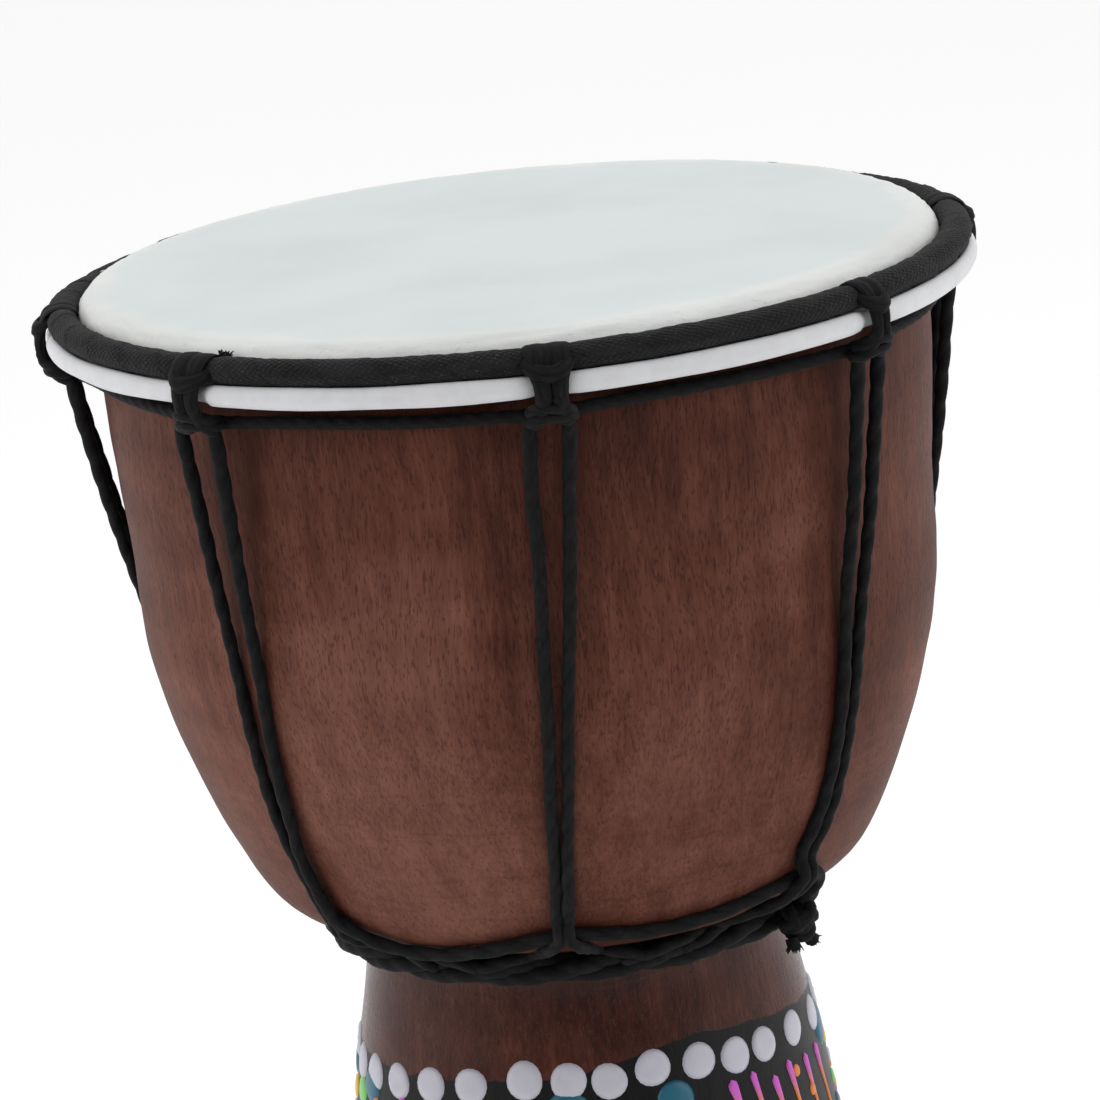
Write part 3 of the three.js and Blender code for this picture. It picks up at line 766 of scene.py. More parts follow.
    bm = bmesh.new()
    bm.from_mesh(ob.data)
    bmesh.ops.remove_doubles(bm, verts=bm.verts, dist=2e-5)
    bmesh.ops.recalc_face_normals(bm, faces=bm.faces)
    bm.to_mesh(ob.data)
    bm.free()
    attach(ob, "root")
    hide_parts("shell")
    return ob


shell = build_shell()

# ------------------------------------------------------------------ skin
T = 0.56
skin_mid = [[0.0, 199.72], [20.0, 199.72], [40.0, 199.72], [45.2, 199.71], [46.3, 199.58], [47.12, 199.1], [47.82, 198.33],
            [48.05, 197.45], [48.22, 196.57], [48.72, 195.75]]


def loop_near(az):
    """Distance along the hoop from the nearest cord loop, in mm."""
    best = np.full(np.shape(az), 1e9)
    for c in AZ_TOP:
        d = np.abs((np.asarray(az) - c + 180) % 360 - 180)
        best = np.minimum(best, np.radians(d) * 52.0)
    return best


def build_skin():
    n_az = 320
    az = np.arange(n_az) * 360.0 / n_az
    # sparse over the open middle and denser from 43 mm out, towards the fold
    head = catmull(skin_mid, 14)
    head = head[:-1]
    r_in = head[:, 0]
    keep = [0]
    for i in range(1, len(head)):
        gap = 2.4 if head[i, 0] < 43 else 0.34
        if np.linalg.norm(head[i] - head[keep[-1]]) >= gap:
            keep.append(i)
    head = head[keep]
    th = np.radians(np.linspace(168, 432, 34))
    fold = np.stack([HOOP["r"] + (HOOP["a"] - T / 2) * np.cos(th), HOOP["z"] + (HOOP["b"] - T / 2) * np.sin(th)], -1)
    mid = np.vstack([head, fold])
    nh = len(head)
    tang = np.gradient(mid, axis=0)
    tang /= np.linalg.norm(tang, axis=1)[:, None]
    nrm = np.stack([-tang[:, 1], tang[:, 0]], -1)  # towards the playing side, then towards the hoop
    A = az[:, None]
    near = loop_near(az)
    pinch = 1 - smoothstep(1.0, 2.5, near)
    f = np.zeros(len(mid))
    f[nh:] = smoothstep(168, 215, np.degrees(th))
    # mid line, pinched about the hoop near each loop
    R = np.repeat(mid[None, :, 0], n_az, 0)
    Z = np.repeat(mid[None, :, 1], n_az, 0)
    k = pinch[:, None] * f[None, :]
    rise = 0.24 * smoothstep(0.2, 0.6, f)[None, :] * np.ones((n_az, 1))
    R = HOOP["r"] + (R - HOOP["r"]) * (1 - 0.40 * k) - 0.25 * k
    Z = HOOP["z"] + (Z - HOOP["z"]) * (1 - 0.30 * k) * (1 + 0.04 * f[None, :]) + rise
    # slow unevenness of the fold, puckers on the slope, faint sag on the face
    a = np.radians(A)
    lump = waves(31, 9, 4, 22, integer_first=True)
    puck = waves(32, 14, 40, 120, integer_first=True)
    soft = waves(33, 8, 1, 6, integer_first=True)
    slope = np.zeros(len(mid))
    rr = mid[:, 0]
    slope[:nh] = smoothstep(45.4, 46.8, rr[:nh]) * 0.9
    slope[nh:] = (1 - smoothstep(190, 250, np.degrees(th))) * 0.9 + 0.10
    disp = slope[None, :] * (0.05 * lump(a, rr[None, :] * 0.6) + 0.055 * puck(a, rr[None, :] * 1.2))
    ridge = np.exp(-(((rr - 47.3) / 0.42) ** 2)) * (np.arange(len(mid)) < nh)
    disp = disp + ridge[None, :] * (0.03 + 0.05 * np.clip(puck(a, 3.0 + 0 * rr[None, :]), 0, 2))
    face = (1 - smoothstep(40, 46, rr)) * (np.arange(len(mid)) < nh)
    disp = disp + face[None, :] * 0.03 * soft(a, rr[None, :] / 14.0) * smoothstep(0, 12, rr)[None, :]
    foldm = np.zeros(len(mid))
    foldm[nh:] = smoothstep(250, 300, np.degrees(th))
    disp = disp - foldm[None, :] * 0.05 * (1 + lump(a, 4.0 + 0 * rr[None, :]))
    n2 = nrm[None, :, :]
    half = np.full(len(mid), T / 2)
    tip = np.linspace(1, 0, 5)
    half[-5:] *= np.sqrt(np.clip(1 - (1 - tip) ** 2, 0.06, 1))
    top_r, top_z = R + n2[..., 0] * (half + disp), Z + n2[..., 1] * (half + disp)
    bot_r, bot_z = R - n2[..., 0] * (half - disp), Z - n2[..., 1] * (half - disp)
    top = polar(A, top_r, top_z)
    bot = polar(A, bot_r, bot_z)
    edge = smoothstep(40.5, 47.6, rr) * (np.arange(len(mid)) < nh) + (np.arange(len(mid)) >= nh)
    crease = np.exp(-(((rr - 47.5) / 0.9) ** 2)) * (np.arange(len(mid)) < nh)
    foldc = np.zeros(len(mid))
    foldc[nh:] = smoothstep(200, 240, np.degrees(th))
    one = np.ones((n_az, 1))
    b = Build()
    us, vs = np.arange(n_az + 1) * 1.0, np.arange(len(mid) + 1) * 1.0
    lift = np.clip(edge[None, :] + 0.10 * np.cos(2 * a) * 0, 0, 1)
    b.grid(top[:, 1:], True, False, us, vs, 0, flip=False, edge=one * lift[:, 1:], crease=one * crease[None, 1:], fold=one * foldc[None, 1:])
    m = len(mid) - 1
    base2 = b.n
    b.grid(bot[:, 1:], True, False, us, vs, 0, flip=True, edge=one * edge[None, 1:], crease=one * 0 * crease[None, 1:], fold=one * foldc[None, 1:])
    # centre fans and the cut end
    b.add([top[0, 0], bot[0, 0]], [], edge=np.zeros(2), crease=np.zeros(2), fold=np.zeros(2))
    c0, c1 = b.n - 2, b.n - 1
    for i in range(n_az):
        i2 = (i + 1) % n_az
        b.f += [[c0, i * m, i2 * m], [c1, base2 + i2 * m, base2 + i * m],
                [i * m + m - 1, base2 + i * m + m - 1, base2 + i2 * m + m - 1, i2 * m + m - 1]]
        b.uv += [[(0, 0)] * 3, [(0, 0)] * 3, [(0, 0)] * 4]
        b.mat += [0, 0, 0]
    ob = b.mesh("drum_head", [SKIN])
    import bmesh

    bm = bmesh.new()
    bm.from_mesh(ob.data)
    bmesh.ops.recalc_face_normals(bm, faces=bm.faces)
    bm.to_mesh(ob.data)
    bm.free()
    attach(ob, "root")
    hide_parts("drum_skin")
    return ob


skin = build_skin()


# ------------------------------------------------------------------ crown ring
def build_crown():
    n_az, n_th = 720, 26
    az = np.arange(n_az) * 360.0 / n_az
    th = np.linspace(0, TAU, n_th, endpoint=False)
    A, TH = az[:, None], th[None, :]
    winds = 46
    g = np.random.default_rng(4)
    # the strip winds round the ring: each turn overlaps the last, leaving a low step
    turn = (A / 360.0 * winds + TH / TAU) % 1.0
    idx = np.floor(A / 360.0 * winds + TH / TAU).astype(int) % winds
    strength = g.uniform(0.1, 1.0, winds)
    strength[[9, 10, 8]] = 1.6  # clearest at the right-hand side
    st = strength[idx]
    step = (turn - 0.5) * 0.16 * st
    seam = np.exp(-((np.minimum(turn, 1 - turn) / 0.022) ** 2)) * np.clip(st, 0, 1)
    lump = waves(41, 12, 8, 60, integer_first=True)
    near = loop_near(az)[:, None]
    squeeze = 1 - 0.09 * (1 - smoothstep(1.5, 4.0, near))
    rad = (1 + 0.030 * lump(np.radians(A), TH * 1.0) * 0.6) * squeeze
    a_, b_ = CROWN["a"], CROWN["b"]
    fuzz = waves(42, 18, 70, 220, integer_first=True)
    rad = rad + 0.018 * fuzz(np.radians(A), TH * 2.0)
    # round the far side the cords draw it down and flatter
    far = smoothstep(96, 130, A) * smoothstep(270, 248, A) * (1 + 0.5 * smoothstep(200, 235, A)) + 0 * TH
    R = CROWN["r"] + 0.04 + np.cos(TH) * (a_ * rad + step)
    Z = CROWN["z"] - 0.04 - 0.30 * far + np.sin(TH) * ((b_ + 0.05 - 0.16 * far) * rad + step)
    P = polar(A + 0 * TH, R, Z)
    b = Build()
    per = TAU * 1.6
    b.grid(P, True, True, az.tolist() + [360.0] if False else np.append(az, 360.0) / 360.0 * TAU * 50.2, np.linspace(0, per, n_th + 1), 0, flip=True, seam=seam)
    ob = b.mesh("crown_ring_winding", [CLOTH])
    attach(ob, "root")
    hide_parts("crown_ring_wrap")
    return ob


build_crown()


# ------------------------------------------------------------------ tie cords
def chord(az, angles, r_hitch, r_min):
    out = np.empty(len(az))
    for k, x in enumerate(az):
        for i, a in enumerate(angles):
            bb = angles[(i + 1) % len(angles)]
            span = (bb - a) % 360
            d = (x - a) % 360
            if d <= span:
                out[k] = max(r_min, r_hitch * math.cos(math.radians(span / 2)) / math.cos(math.radians(d - span / 2)))
                break
    return out


def build_upper_tie():
    az = np.linspace(0, 360, 240, endpoint=False)
    r = chord(az, AZ_TOP, 50.05, 47.45)
    # soften the corners where it wraps on to the wood
    r = np.convolve(np.r_[r[-4:], r, r[:4]], np.ones(9) / 9, "valid")
    near = loop_near(az)
    g = waves(51, 6, 2, 9, dims=1, integer_first=True)
    z = 191.50 + 0.16 * g(np.radians(az)) - 0.08 * smoothstep(4, 14, near)
    b = Build()
    rope(b, polar(az, r, z), 0.73, sides=16, lobes=3, pitch=7.0, amp=0.20, step=0.45, closed=True, seed=51)
    ob = b.mesh("upper_tie", [CORD])
    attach(ob, "root")
    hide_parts("upper_tie_cord")


build_upper_tie()


def offset_line(d):
    """The wood's outline pushed out by d."""
    p = outer_fine
    t = np.gradient(p, axis=0)
    t /= np.linalg.norm(t, axis=1)[:, None]
    return p + np.stack([-t[:, 1], t[:, 0]], -1) * d


def hug_r(z, d):
    q = offset_line(d)
    keep = (q[:, 1] > 125.2) & (q[:, 1] < 198)
    q = q[keep][::-1]
    return np.interp(z, q[:, 1], q[:, 0])


TIE_PATH = [
    [-42.4, 129.6, 0.85], [-39.7, 128.6, 0.85], [-35, 127.7, 0.85], [-28.7, 127.3, 0.85], [-19, 128.0, 0.85],
    [-10.6, 129.1, 0.85], [-5.7, 129.8, 0.85], [-2.2, 130.0, 0.85], [1.5, 129.9, 0.85], [5.8, 129.5, 0.82], [11.2, 129.1, 0.8],
    [16.6, 129.0, 0.8], [22.1, 129.2, 0.8], [27.9, 129.6, 0.8], [34.2, 130.3, 0.8], [39, 130.8, 0.8], [42, 131.1, 0.8],
    [45, 131.2, 0.8], [48, 130.8, 0.8], [50, 130.0, 0.8], [51.5, 128.6, 0.82], [52.3, 127.2, 0.95],
]


def build_waist_tie():
    pts = [polar(a, hug_r(z, d), z) for a, z, d in TIE_PATH]
    # it is the second cord of its foot hitch, turned aside
    pts = [polar(-46.3, hug_r(131.6, 0.9), 131.6), polar(-44.5, hug_r(130.6, 0.9), 130.6)] + pts + [polar(52.4, 31.6, 125.4), polar(52.0, 31.2, 124.2)]
    b = Build()
    rope(b, catmull(np.array(pts), 10), 0.75, sides=18, lobes=2, pitch=9.0, amp=0.20, step=0.42, seed=61)
    ob = b.mesh("waist_tie", [CORD])
    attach(ob, "root")
    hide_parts("waist_tie_cord")


build_waist_tie()


# ------------------------------------------------------------------ waist ring
def ring_pt(az, deg, d=1.95):
    """[r, z] round the waist ring's section."""
    return WAIST["r"] + d * math.cos(math.radians(deg)), WAIST["z"] + d * math.sin(math.radians(deg))


def build_waist_ring():
    b = Build()
    az = np.linspace(0, 360, 240, endpoint=False)
    flat = np.stack([WAIST["r"] * np.sin(np.radians(az)), -WAIST["r"] * np.cos(np.radians(az)), WAIST["z"] + 0 * az], -1)
    rope(b, flat, 0.98, sides=10, lobes=1, amp=0.0, step=0.9, closed=True, seed=70)
    # two fat cords laid round each other over the wire, and a thinner third
    full = 0.86 + 0.30 * smoothstep(-75, -20, (az + 180) % 360 - 180) * smoothstep(95, 60, (az + 180) % 360 - 180)
    for k, (ph, rad, off) in enumerate(((20.0, 0.84, 0.66), (140.0, 0.82, 0.68), (260.0, 0.78, 0.72))):
        turns = 6
        q = np.radians(az * turns + ph)
        r = WAIST["r"] + 0.05 + off * full * np.cos(q)
        z = WAIST["z"] - 0.18 + off * full * np.sin(q) * 1.05
        P = np.stack([r * np.sin(np.radians(az)), -r * np.cos(np.radians(az)), z], -1)
        rope(b, P, (rad * np.append(full, full[0])).tolist(), sides=16, lobes=2, pitch=7.0, amp=0.16, step=0.42, closed=True, seed=71 + k)
    ob = b.mesh("waist_ring_winding", [CORD])
    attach(ob, "root")
    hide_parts("waist_ring_wrap")


build_waist_ring()


# ------------------------------------------------------------------ tension cords
def local(az, stations):
    """[tangential, r, z] stations in the plane of an azimuth, to world points."""
    a = math.radians(az)
    e = np.array([math.cos(a), math.sin(a), 0])
    return np.array([polar(az, r, z) + e * t for t, r, z in stations])


def tension_path(i, side):
    top, foot = 190.3, Z_FOOT[i]
    zs = [top, 187, 183, 178.5, 174, 169.5, 165, 161, 157.5, 154, 150.5, 147, 143.5, 140.5, 137.5, 134.8] + ([foot] if foot < 134 else [])
    contact = 157.5
    g = waves(100 + i * 2 + (side > 0), 5, 0.02, 0.12, dims=1)
    pts = []
    rc = float(hug_r(contact, 0.72))
    for z in zs:
        az, off = float(pair_az(i, z)), float(pair_off(i, z))
        r = float(hug_r(z, 0.72 + (0.35 if side > 0 else 0.0) * float(smoothstep(0.85, 0.66, off))))
        if z > contact:
            r = rc + (49.8 - rc) * (z - contact) / (189.3 - contact)
        a = math.radians(az)
        live = math.sin(math.pi * min(max((top - z) / (top - foot), 0), 1))
        pts.append(polar(az, r, z) + np.array([math.cos(a), math.sin(a), 0]) * (side * off + 0.08 * float(g(z)) * live))
    return np.array(pts)


for i in range(LOOPS):
    for side, tag in ((-1, "a"), (1, "b")):
        b = Build()
        rope(b, catmull(tension_path(i, side), 8), [0.82, 0.78, 0.72, 0.70, 0.69, 0.68, 0.70], sides=16, lobes=2, pitch=7.5, amp=0.20, step=0.42, seed=200 + i * 2 + side)
        ob = b.mesh(f"tension_line_{i + 1}{tag}", [CORD])
        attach(ob, "root")
        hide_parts(f"tension_cord_{i + 1}{tag}")


# ------------------------------------------------------------------ hitches
def strap(build, stations, az, hw, ht, sides=22, ridges=5, step=0.28, seed=0, mat=0, world_tail=None):
    """A flattened bundle of cord lying on a ring. stations: [tangential, r, z]; hw, ht: half width and thickness at each."""
    st = np.array(stations, float)
    P = local(az, st)
    a = math.radians(az)
    e = np.array([math.cos(a), math.sin(a), 0])
    rad = np.array([math.sin(a), -math.cos(a), 0])
    up = np.array([0, 0, 1.0])
    d = np.gradient(st[:, 1:], axis=0)
    size = np.linalg.norm(d, axis=1)[:, None]
    if abs(st[0, 0] - st[-1, 0]) > 1.0:  # runs sideways across the ring's face
        N = np.tile(rad + 0.35 * up, (len(st), 1)) + np.outer(st[:, 0] * 0.18, e)
    else:
        d = d / size
        N = np.outer(-d[:, 1], rad) + np.outer(d[:, 0], up)
    full = np.hstack([P, N, np.array(hw, float)[:, None], np.array(ht, float)[:, None]])
    dense = catmull(full[:, :3], 10)
    s0 = np.concatenate([[0], np.cumsum(np.linalg.norm(np.diff(P, axis=0), axis=1))])
    s1 = np.concatenate([[0], np.cumsum(np.linalg.norm(np.diff(dense, axis=0), axis=1))])
    key = s1[::10] if len(s1[::10]) == len(P) else np.linspace(0, s1[-1], len(P))
    n = max(8, int(s1[-1] / step))
    u = np.linspace(0, s1[-1], n)
    C = np.stack([np.interp(u, s1, dense[:, j]) for j in range(3)], -1)
    Nn = np.stack([np.interp(u, key, full[:, 3 + j]) for j in range(3)], -1)
    T = np.gradient(C, axis=0)
    T /= np.linalg.norm(T, axis=1)[:, None]
    Nn -= T * np.sum(Nn * T, 1)[:, None]
    Nn /= np.linalg.norm(Nn, axis=1)[:, None]
    W = np.cross(T, Nn)
    HW, HT = np.interp(u, key, full[:, 6]), np.interp(u, key, full[:, 7])
    end = np.minimum(u, u[-1] - u)
    taper = np.sqrt(np.clip(1 - (1 - np.clip(end / 0.5, 0, 1)) ** 2, 0.02, 1))
    g = np.random.default_rng(seed)
    th = np.linspace(0, TAU, sides, endpoint=False)
    ph = g.uniform(0, TAU)
    ridge = 1 + 0.07 * np.cos(ridges * th[None, :] + ph + 0.5 * np.sin(u[:, None] * 1.1 + ph))
    ridge = ridge * (1 + 0.03 * np.sin(u[:, None] * 2.3 + th[None, :] * 2 + ph))
    ct, sn = np.cos(th)[None, :], np.sin(th)[None, :]
    X = np.sign(ct) * np.abs(ct) ** 1.0 * HW[:, None] * ridge * taper[:, None]
    Y = np.sign(sn) * np.abs(sn) ** 1.2 * HT[:, None] * ridge * taper[:, None]
    pts = C[:, None] + X[..., None] * W[:, None] + Y[..., None] * Nn[:, None]
    gro = np.clip(0.55 + 0.45 * np.cos(ridges * th[None, :] + ph + 0.5 * np.sin(u[:, None] * 1.1 + ph)), 0, 1) + 0 * X
    base = build.n
    build.grid(pts, False, True, np.append(u, u[-1]), np.linspace(0, 1, sides + 1), mat, flip=True, groove=gro)
    build.add([pts[0].mean(0), pts[-1].mean(0)], [], groove=np.array([0.5, 0.5]))
    k0, k1 = build.n - 2, build.n - 1
    m = len(pts)
    for j in range(sides):
        j2 = (j + 1) % sides
        build.f.append([base + j, base + j2, k0])
        build.f.append([base + (m - 1) * sides + j2, base + (m - 1) * sides + j, k1])
        build.mat += [mat, mat]
        build.uv += [[(0, 0)] * 3, [(0, 0)] * 3]


def build_top_loop(i):
    g = np.random.default_rng(300 + i)
    j = lambda s: float(g.uniform(-s, s))
    b = Build()
    az = AZ_TOP[i]
    kw = dict(sides=14, lobes=2, pitch=6.0, amp=0.16, step=0.36)
    wide = 1.0 + j(0.08)
    low = (0.12, 0.0, 0.0, 0.0, 0.12, 0.30, 0.30, 0.50)[i]  # drawn down on the far side
    over = [  # r, z, tangential, half width, half thickness
        (48.42, 198.10, 0.95, 0.9, 0.10), (48.8, 198.58, 0.95, 1.15, 0.14), (49.45, 198.88, 0.98, 1.32, 0.18), (50.3, 199.0, 0.98, 1.38, 0.20),
        (51.45, 198.68, 0.96, 1.38, 0.25), (52.1, 198.1, 0.95, 1.35, 0.30), (52.4, 197.3, 0.92, 1.25, 0.40), (52.72, 196.4, 0.90, 1.15, 0.52),
        (52.98, 195.5, 0.86, 0.98, 0.58), (53.03, 194.5, 0.82, 0.88, 0.58), (52.78, 193.4, 0.85, 0.82, 0.58), (52.2, 192.5, 0.95, 0.8, 0.55),
    ]
    slim = 0.72 if i == 3 else 1.0
    for sd in (-1, 1):
        sh = j(0.12)
        st = [(sd * t * wide * slim + sh, r, z - low * (1.0 if r < 51.5 and z > 198 else 0.3)) for r, z, t, w, h in over]
        strap(b, st, az, [o[3] * slim for o in over], [o[4] * (1.12 if sd < 0 else 1.0) * (0.75 if low > 0.2 else 1.0) for o in over], ridges=7, seed=400 + i * 4 + sd)
        # on down to the head of its tension cord
        head = tension_path(i, sd)
        pts = np.vstack([local(az, [(sd * 0.82 * slim, 52.95, 193.7), (sd * 0.95, 52.4, 192.6), (sd * 1.3, 51.5, 191.3)]), head[0] + (head[0] - head[1]) * 0.05, head[1]])
        rope(b, catmull(pts, 10), 0.72, seed=450 + i * 4 + sd, **kw)
    # the turn that gathers them at the ring's lower edge
    lo = (0.0, -0.1, 0.0, 0.1, 0.0, 0.0, 0.0, 0.0)[i]
    w2 = (1.9, 2.2, 2.05, 1.55, 1.9, 1.9, 1.9, 1.9)[i]
    st = [(-w2 - 0.35, 51.4, 198.0), (-w2 - 0.1, 52.15, 197.35 + lo * 0.5), (-w2 * 0.62, 53.0, 196.75 + lo), (0.0, 53.3, 196.5 + lo), (w2 * 0.62, 53.0, 196.75 + lo), (w2 + 0.1, 52.15, 197.35 + lo), (w2 + 0.35, 51.4, 198.0)]
    strap(b, [(t, r, z) for t, r, z in st], az, [0.45, 0.7, 0.85, 0.9, 0.85, 0.7, 0.45], [0.30, 0.42, 0.5, 0.5, 0.5, 0.42, 0.30], ridges=6, seed=600 + i)
    if i == 1:  # a frayed end standing on the ring
        for q in range(26):
            t0 = 2.5 + g.uniform(-0.7, 0.8)
            s0 = np.array([t0, 48.95 + g.uniform(-0.15, 0.35), 198.72])
            s2 = s0 + np.array([g.uniform(-0.5, 0.7), g.uniform(-0.50, 0.0), g.uniform(0.20, 0.62)])
            s1 = (s0 + s2) / 2 + g.uniform(-0.12, 0.12, 3)
            rope(b, catmull(local(az, [s0, s1, s2]), 4), [0.16, 0.12, 0.05], sides=5, lobes=1, amp=0.0, step=0.3, seed=1500 + q)
    # the lower lump, round the tie cord
    c = 0.25 * (float(pair_az(i, 189.3)) - az) * 0.87
    w3 = (2.1, 2.25, 2.15, 2.0, 2.1, 2.1, 2.1, 2.1)[i] + j(0.06)
    st = [(c - w3 + 0.1, 50.6, 192.1), (c - w3, 51.5, 192.3), (c - 1.4, 52.5, 192.75), (c, 52.85, 192.85 + j(0.1)), (c + 1.4, 52.5, 192.6), (c + w3, 51.5, 192.2), (c + w3 - 0.1, 50.6, 192.0)]
    rope(b, catmull(local(az, st), 10), 0.62, seed=700 + i, **kw)
    st = [(c - w3 - 0.15, 50.3, 191.1), (c - w3 - 0.2, 51.2, 191.2), (c - 1.5, 52.1, 191.55), (c, 52.4, 191.75), (c + 1.5, 52.1, 191.75), (c + w3 + 0.1, 51.2, 191.6), (c + w3 + 0.1, 50.3, 191.5)]
    rope(b, catmull(local(az, st), 10), 0.64, seed=800 + i, **kw)
    ob = b.mesh(f"crown_hitch_{i + 1}", [CORD])
    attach(ob, "root")
    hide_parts(f"top_loop_{i + 1}")


TIE_AT_FOOT = {2: 130.0, 3: 131.3}
# which way each cord of a pair turns on to the waist ring, and how far along it shows, in mm
BRANCH = {1: ((1, 13.0), (1, 6.0)), 2: ((-1, 10.5), (1, 9.0)), 3: ((-1, 16.0), (-1, 9.0))}


def build_bottom_loop(i):
    b = Build()
    az = AZ_FOOT[i]
    kw = dict(sides=16, lobes=2, pitch=7.0, amp=0.19, step=0.4)
    tie = TIE_AT_FOOT.get(i)
    for k, sd in enumerate((-1, 1)):
        turn, reach = BRANCH.get(i, ((-1, 8.0), (1, 8.0)))[k]
        path = tension_path(i, sd)
        head = [path[-2], path[-1]] if Z_FOOT[i] < 134 else [path[-1], None]
        lead = 0.10 if sd > 0 else 0.0
        if tie:
            rows = [(sd * 0.58, tie + 1.9, 1.15 + lead), (sd * 0.55, tie + 0.9, 1.9 + lead), (sd * 0.50, tie, 2.15 + lead), (sd * 0.45 + turn * 0.9, tie - 1.1, 1.9 + lead)]
            if i == 3:
                rows.append((turn * 2.0 + sd * 0.25, tie - 2.6, 1.35))
        else:
            rows = [(sd * 0.6, 130.3, 0.8 + lead), (sd * 0.55, 128.9, 0.9 + lead)]
        a = math.radians(az)
        e = np.array([math.cos(a), math.sin(a), 0])
        pts = [h for h in head if h is not None]
        pts = pts[:1] if tie and len(pts) > 1 and tie + 1.9 > 131.5 else pts
        pts += [polar(az, float(hug_r(z, d)), z) + e * t for t, z, d in rows]
        # on to the ring, lying beside its own cords, until it sinks between them
        for f, deg, d in ((0.36, 62, 2.15), (0.50, 50, 2.15), (0.66, 38, 2.0), (0.83, 26, 1.75), (1.0, 14, 1.2)):
            r, z = ring_pt(0, deg, d)
            pts.append(polar(az + turn * math.degrees((reach * f + 0.3) / r), r, z))
        rope(b, catmull(np.array(pts), 10), 0.70, seed=1000 + i * 4 + sd, **kw)
    ob = b.mesh(f"waist_hitch_{i + 1}", [CORD])
    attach(ob, "root")
    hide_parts(f"bottom_loop_{i + 1}")


for i in range(LOOPS):
    build_top_loop(i)
    build_bottom_loop(i)


# ------------------------------------------------------------------ end knot and tails
KNOT = dict(az=51.8, r=31.6, z=124.0, R=2.45)


def build_knot():
    b = Build()
    t = np.linspace(0, TAU, 72, endpoint=False)
    c = polar(KNOT["az"], KNOT["r"], KNOT["z"])
    a = math.radians(KNOT["az"])
    e1 = np.array([math.cos(a), math.sin(a), 0])  # along the ring
    e2 = np.array([0, 0, 1.0])
    e3 = np.array([math.sin(a), -math.cos(a), 0])  # outward
    # core, dark with painted shade between the turns, then a knotted cord pulled tight round it, then two more turns
    ball = []
    for k in range(1, 9):
        f = math.pi * k / 9
        ball.append([c + 1.75 * (math.cos(f) * 1.12 * e2 + math.sin(f) * (math.cos(u) * e1 + math.sin(u) * e3)) for u in np.linspace(0, TAU, 16, endpoint=False)])
    # its low groove value darkens it as painted shade
    b.grid(np.array(ball), False, True, groove=np.full((8, 16), 0.1))
    k = np.stack([np.sin(t) + 2 * np.sin(2 * t), np.cos(t) - 2 * np.cos(2 * t), -np.sin(3 * t) * 1.25], -1) * 0.63
    P = c + k[:, 0:1] * e1 * 0.90 + k[:, 1:2] * e2 * 1.05 + k[:, 2:3] * e3
    kw = dict(sides=16, lobes=2, pitch=6.0, amp=0.18, step=0.36, closed=True)
    rope(b, P, 0.80, seed=1200, **kw)
    for ph, tilt, rr, sh in ((0.3, 0.55, 1.68, -0.25), (1.9, -0.75, 1.60, 0.55)):
        ring = []
        for u in t:
            p = np.array([math.cos(u) * rr, math.sin(u) * rr * 1.05, 0.0])
            q = np.array([p[0], p[1] * math.cos(tilt), p[1] * math.sin(tilt)])
            ring.append(c + q[0] * (e1 * math.cos(ph) + e3 * math.sin(ph)) + q[1] * (-e1 * math.sin(ph) + e3 * math.cos(ph)) * 1.0 + (q[2] * 1.05 + sh) * e2)
        rope(b, np.array(ring), 0.74, seed=1210 + int(ph * 10), **kw)
    ob = b.mesh("finishing_knot", [CORD])
    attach(ob, "root")
    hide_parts("end_knot")
    for tag, az, lean, length in (("a", 49.6, 49.2, 0.55), ("b", 53.8, 56.0, 0.75)):
        b = Build()
        z0 = KNOT["z"] - KNOT["R"] * 1.1 + 0.7
        top = polar(az, 31.3, z0)
        m1 = polar((az + lean) / 2, 31.5, z0 - 0.45)
        end = polar(lean, 31.7, z0 - 0.5 - length)
        rope(b, catmull(np.array([top, m1, end]), 10), [0.74, 0.76, 0.84], sides=16, lobes=3, pitch=4.4, amp=0.18, step=0.3, seed=1300, cut=True)
        # loose fibres at the cut end
        g = np.random.default_rng(77 if tag == "a" else 78)
        d = end - m1
        d /= np.linalg.norm(d)
        for _ in range(26):
            w = g.normal(size=3)
            w -= d * np.dot(w, d)
            w /= np.linalg.norm(w)
            s0 = end - d * 0.3 + w * g.uniform(0.1, 0.66)
            s2 = s0 + d * g.uniform(0.35, 0.85) + w * g.uniform(-0.1, 0.5)
            s1 = (s0 + s2) / 2 + w * g.uniform(-0.08, 0.12)
            rope(b, catmull(np.array([s0, s1, s2]), 4), [0.12, 0.09, 0.04], sides=5, lobes=1, amp=0.0, step=0.28, seed=1400)
        ob = b.mesh(f"cut_tail_{tag}", [CORD])
        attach(ob, "root")
        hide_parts(f"knot_tail_{tag}")


build_knot()


# ------------------------------------------------------------------ paint on the foot
WHITE = (0.515, 0.505, 0.570)
TEAL = (0.012, 0.115, 0.175)
GREEN = (0.20, 0.56, 0.15)
YELLOW = (0.75, 0.47, 0.04)
ORANGE = (0.72, 0.20, 0.035)
PINK = (0.56, 0.085, 0.58)
BLUE = (0.03, 0.10, 0.42)
RED = (0.48, 0.03, 0.03)


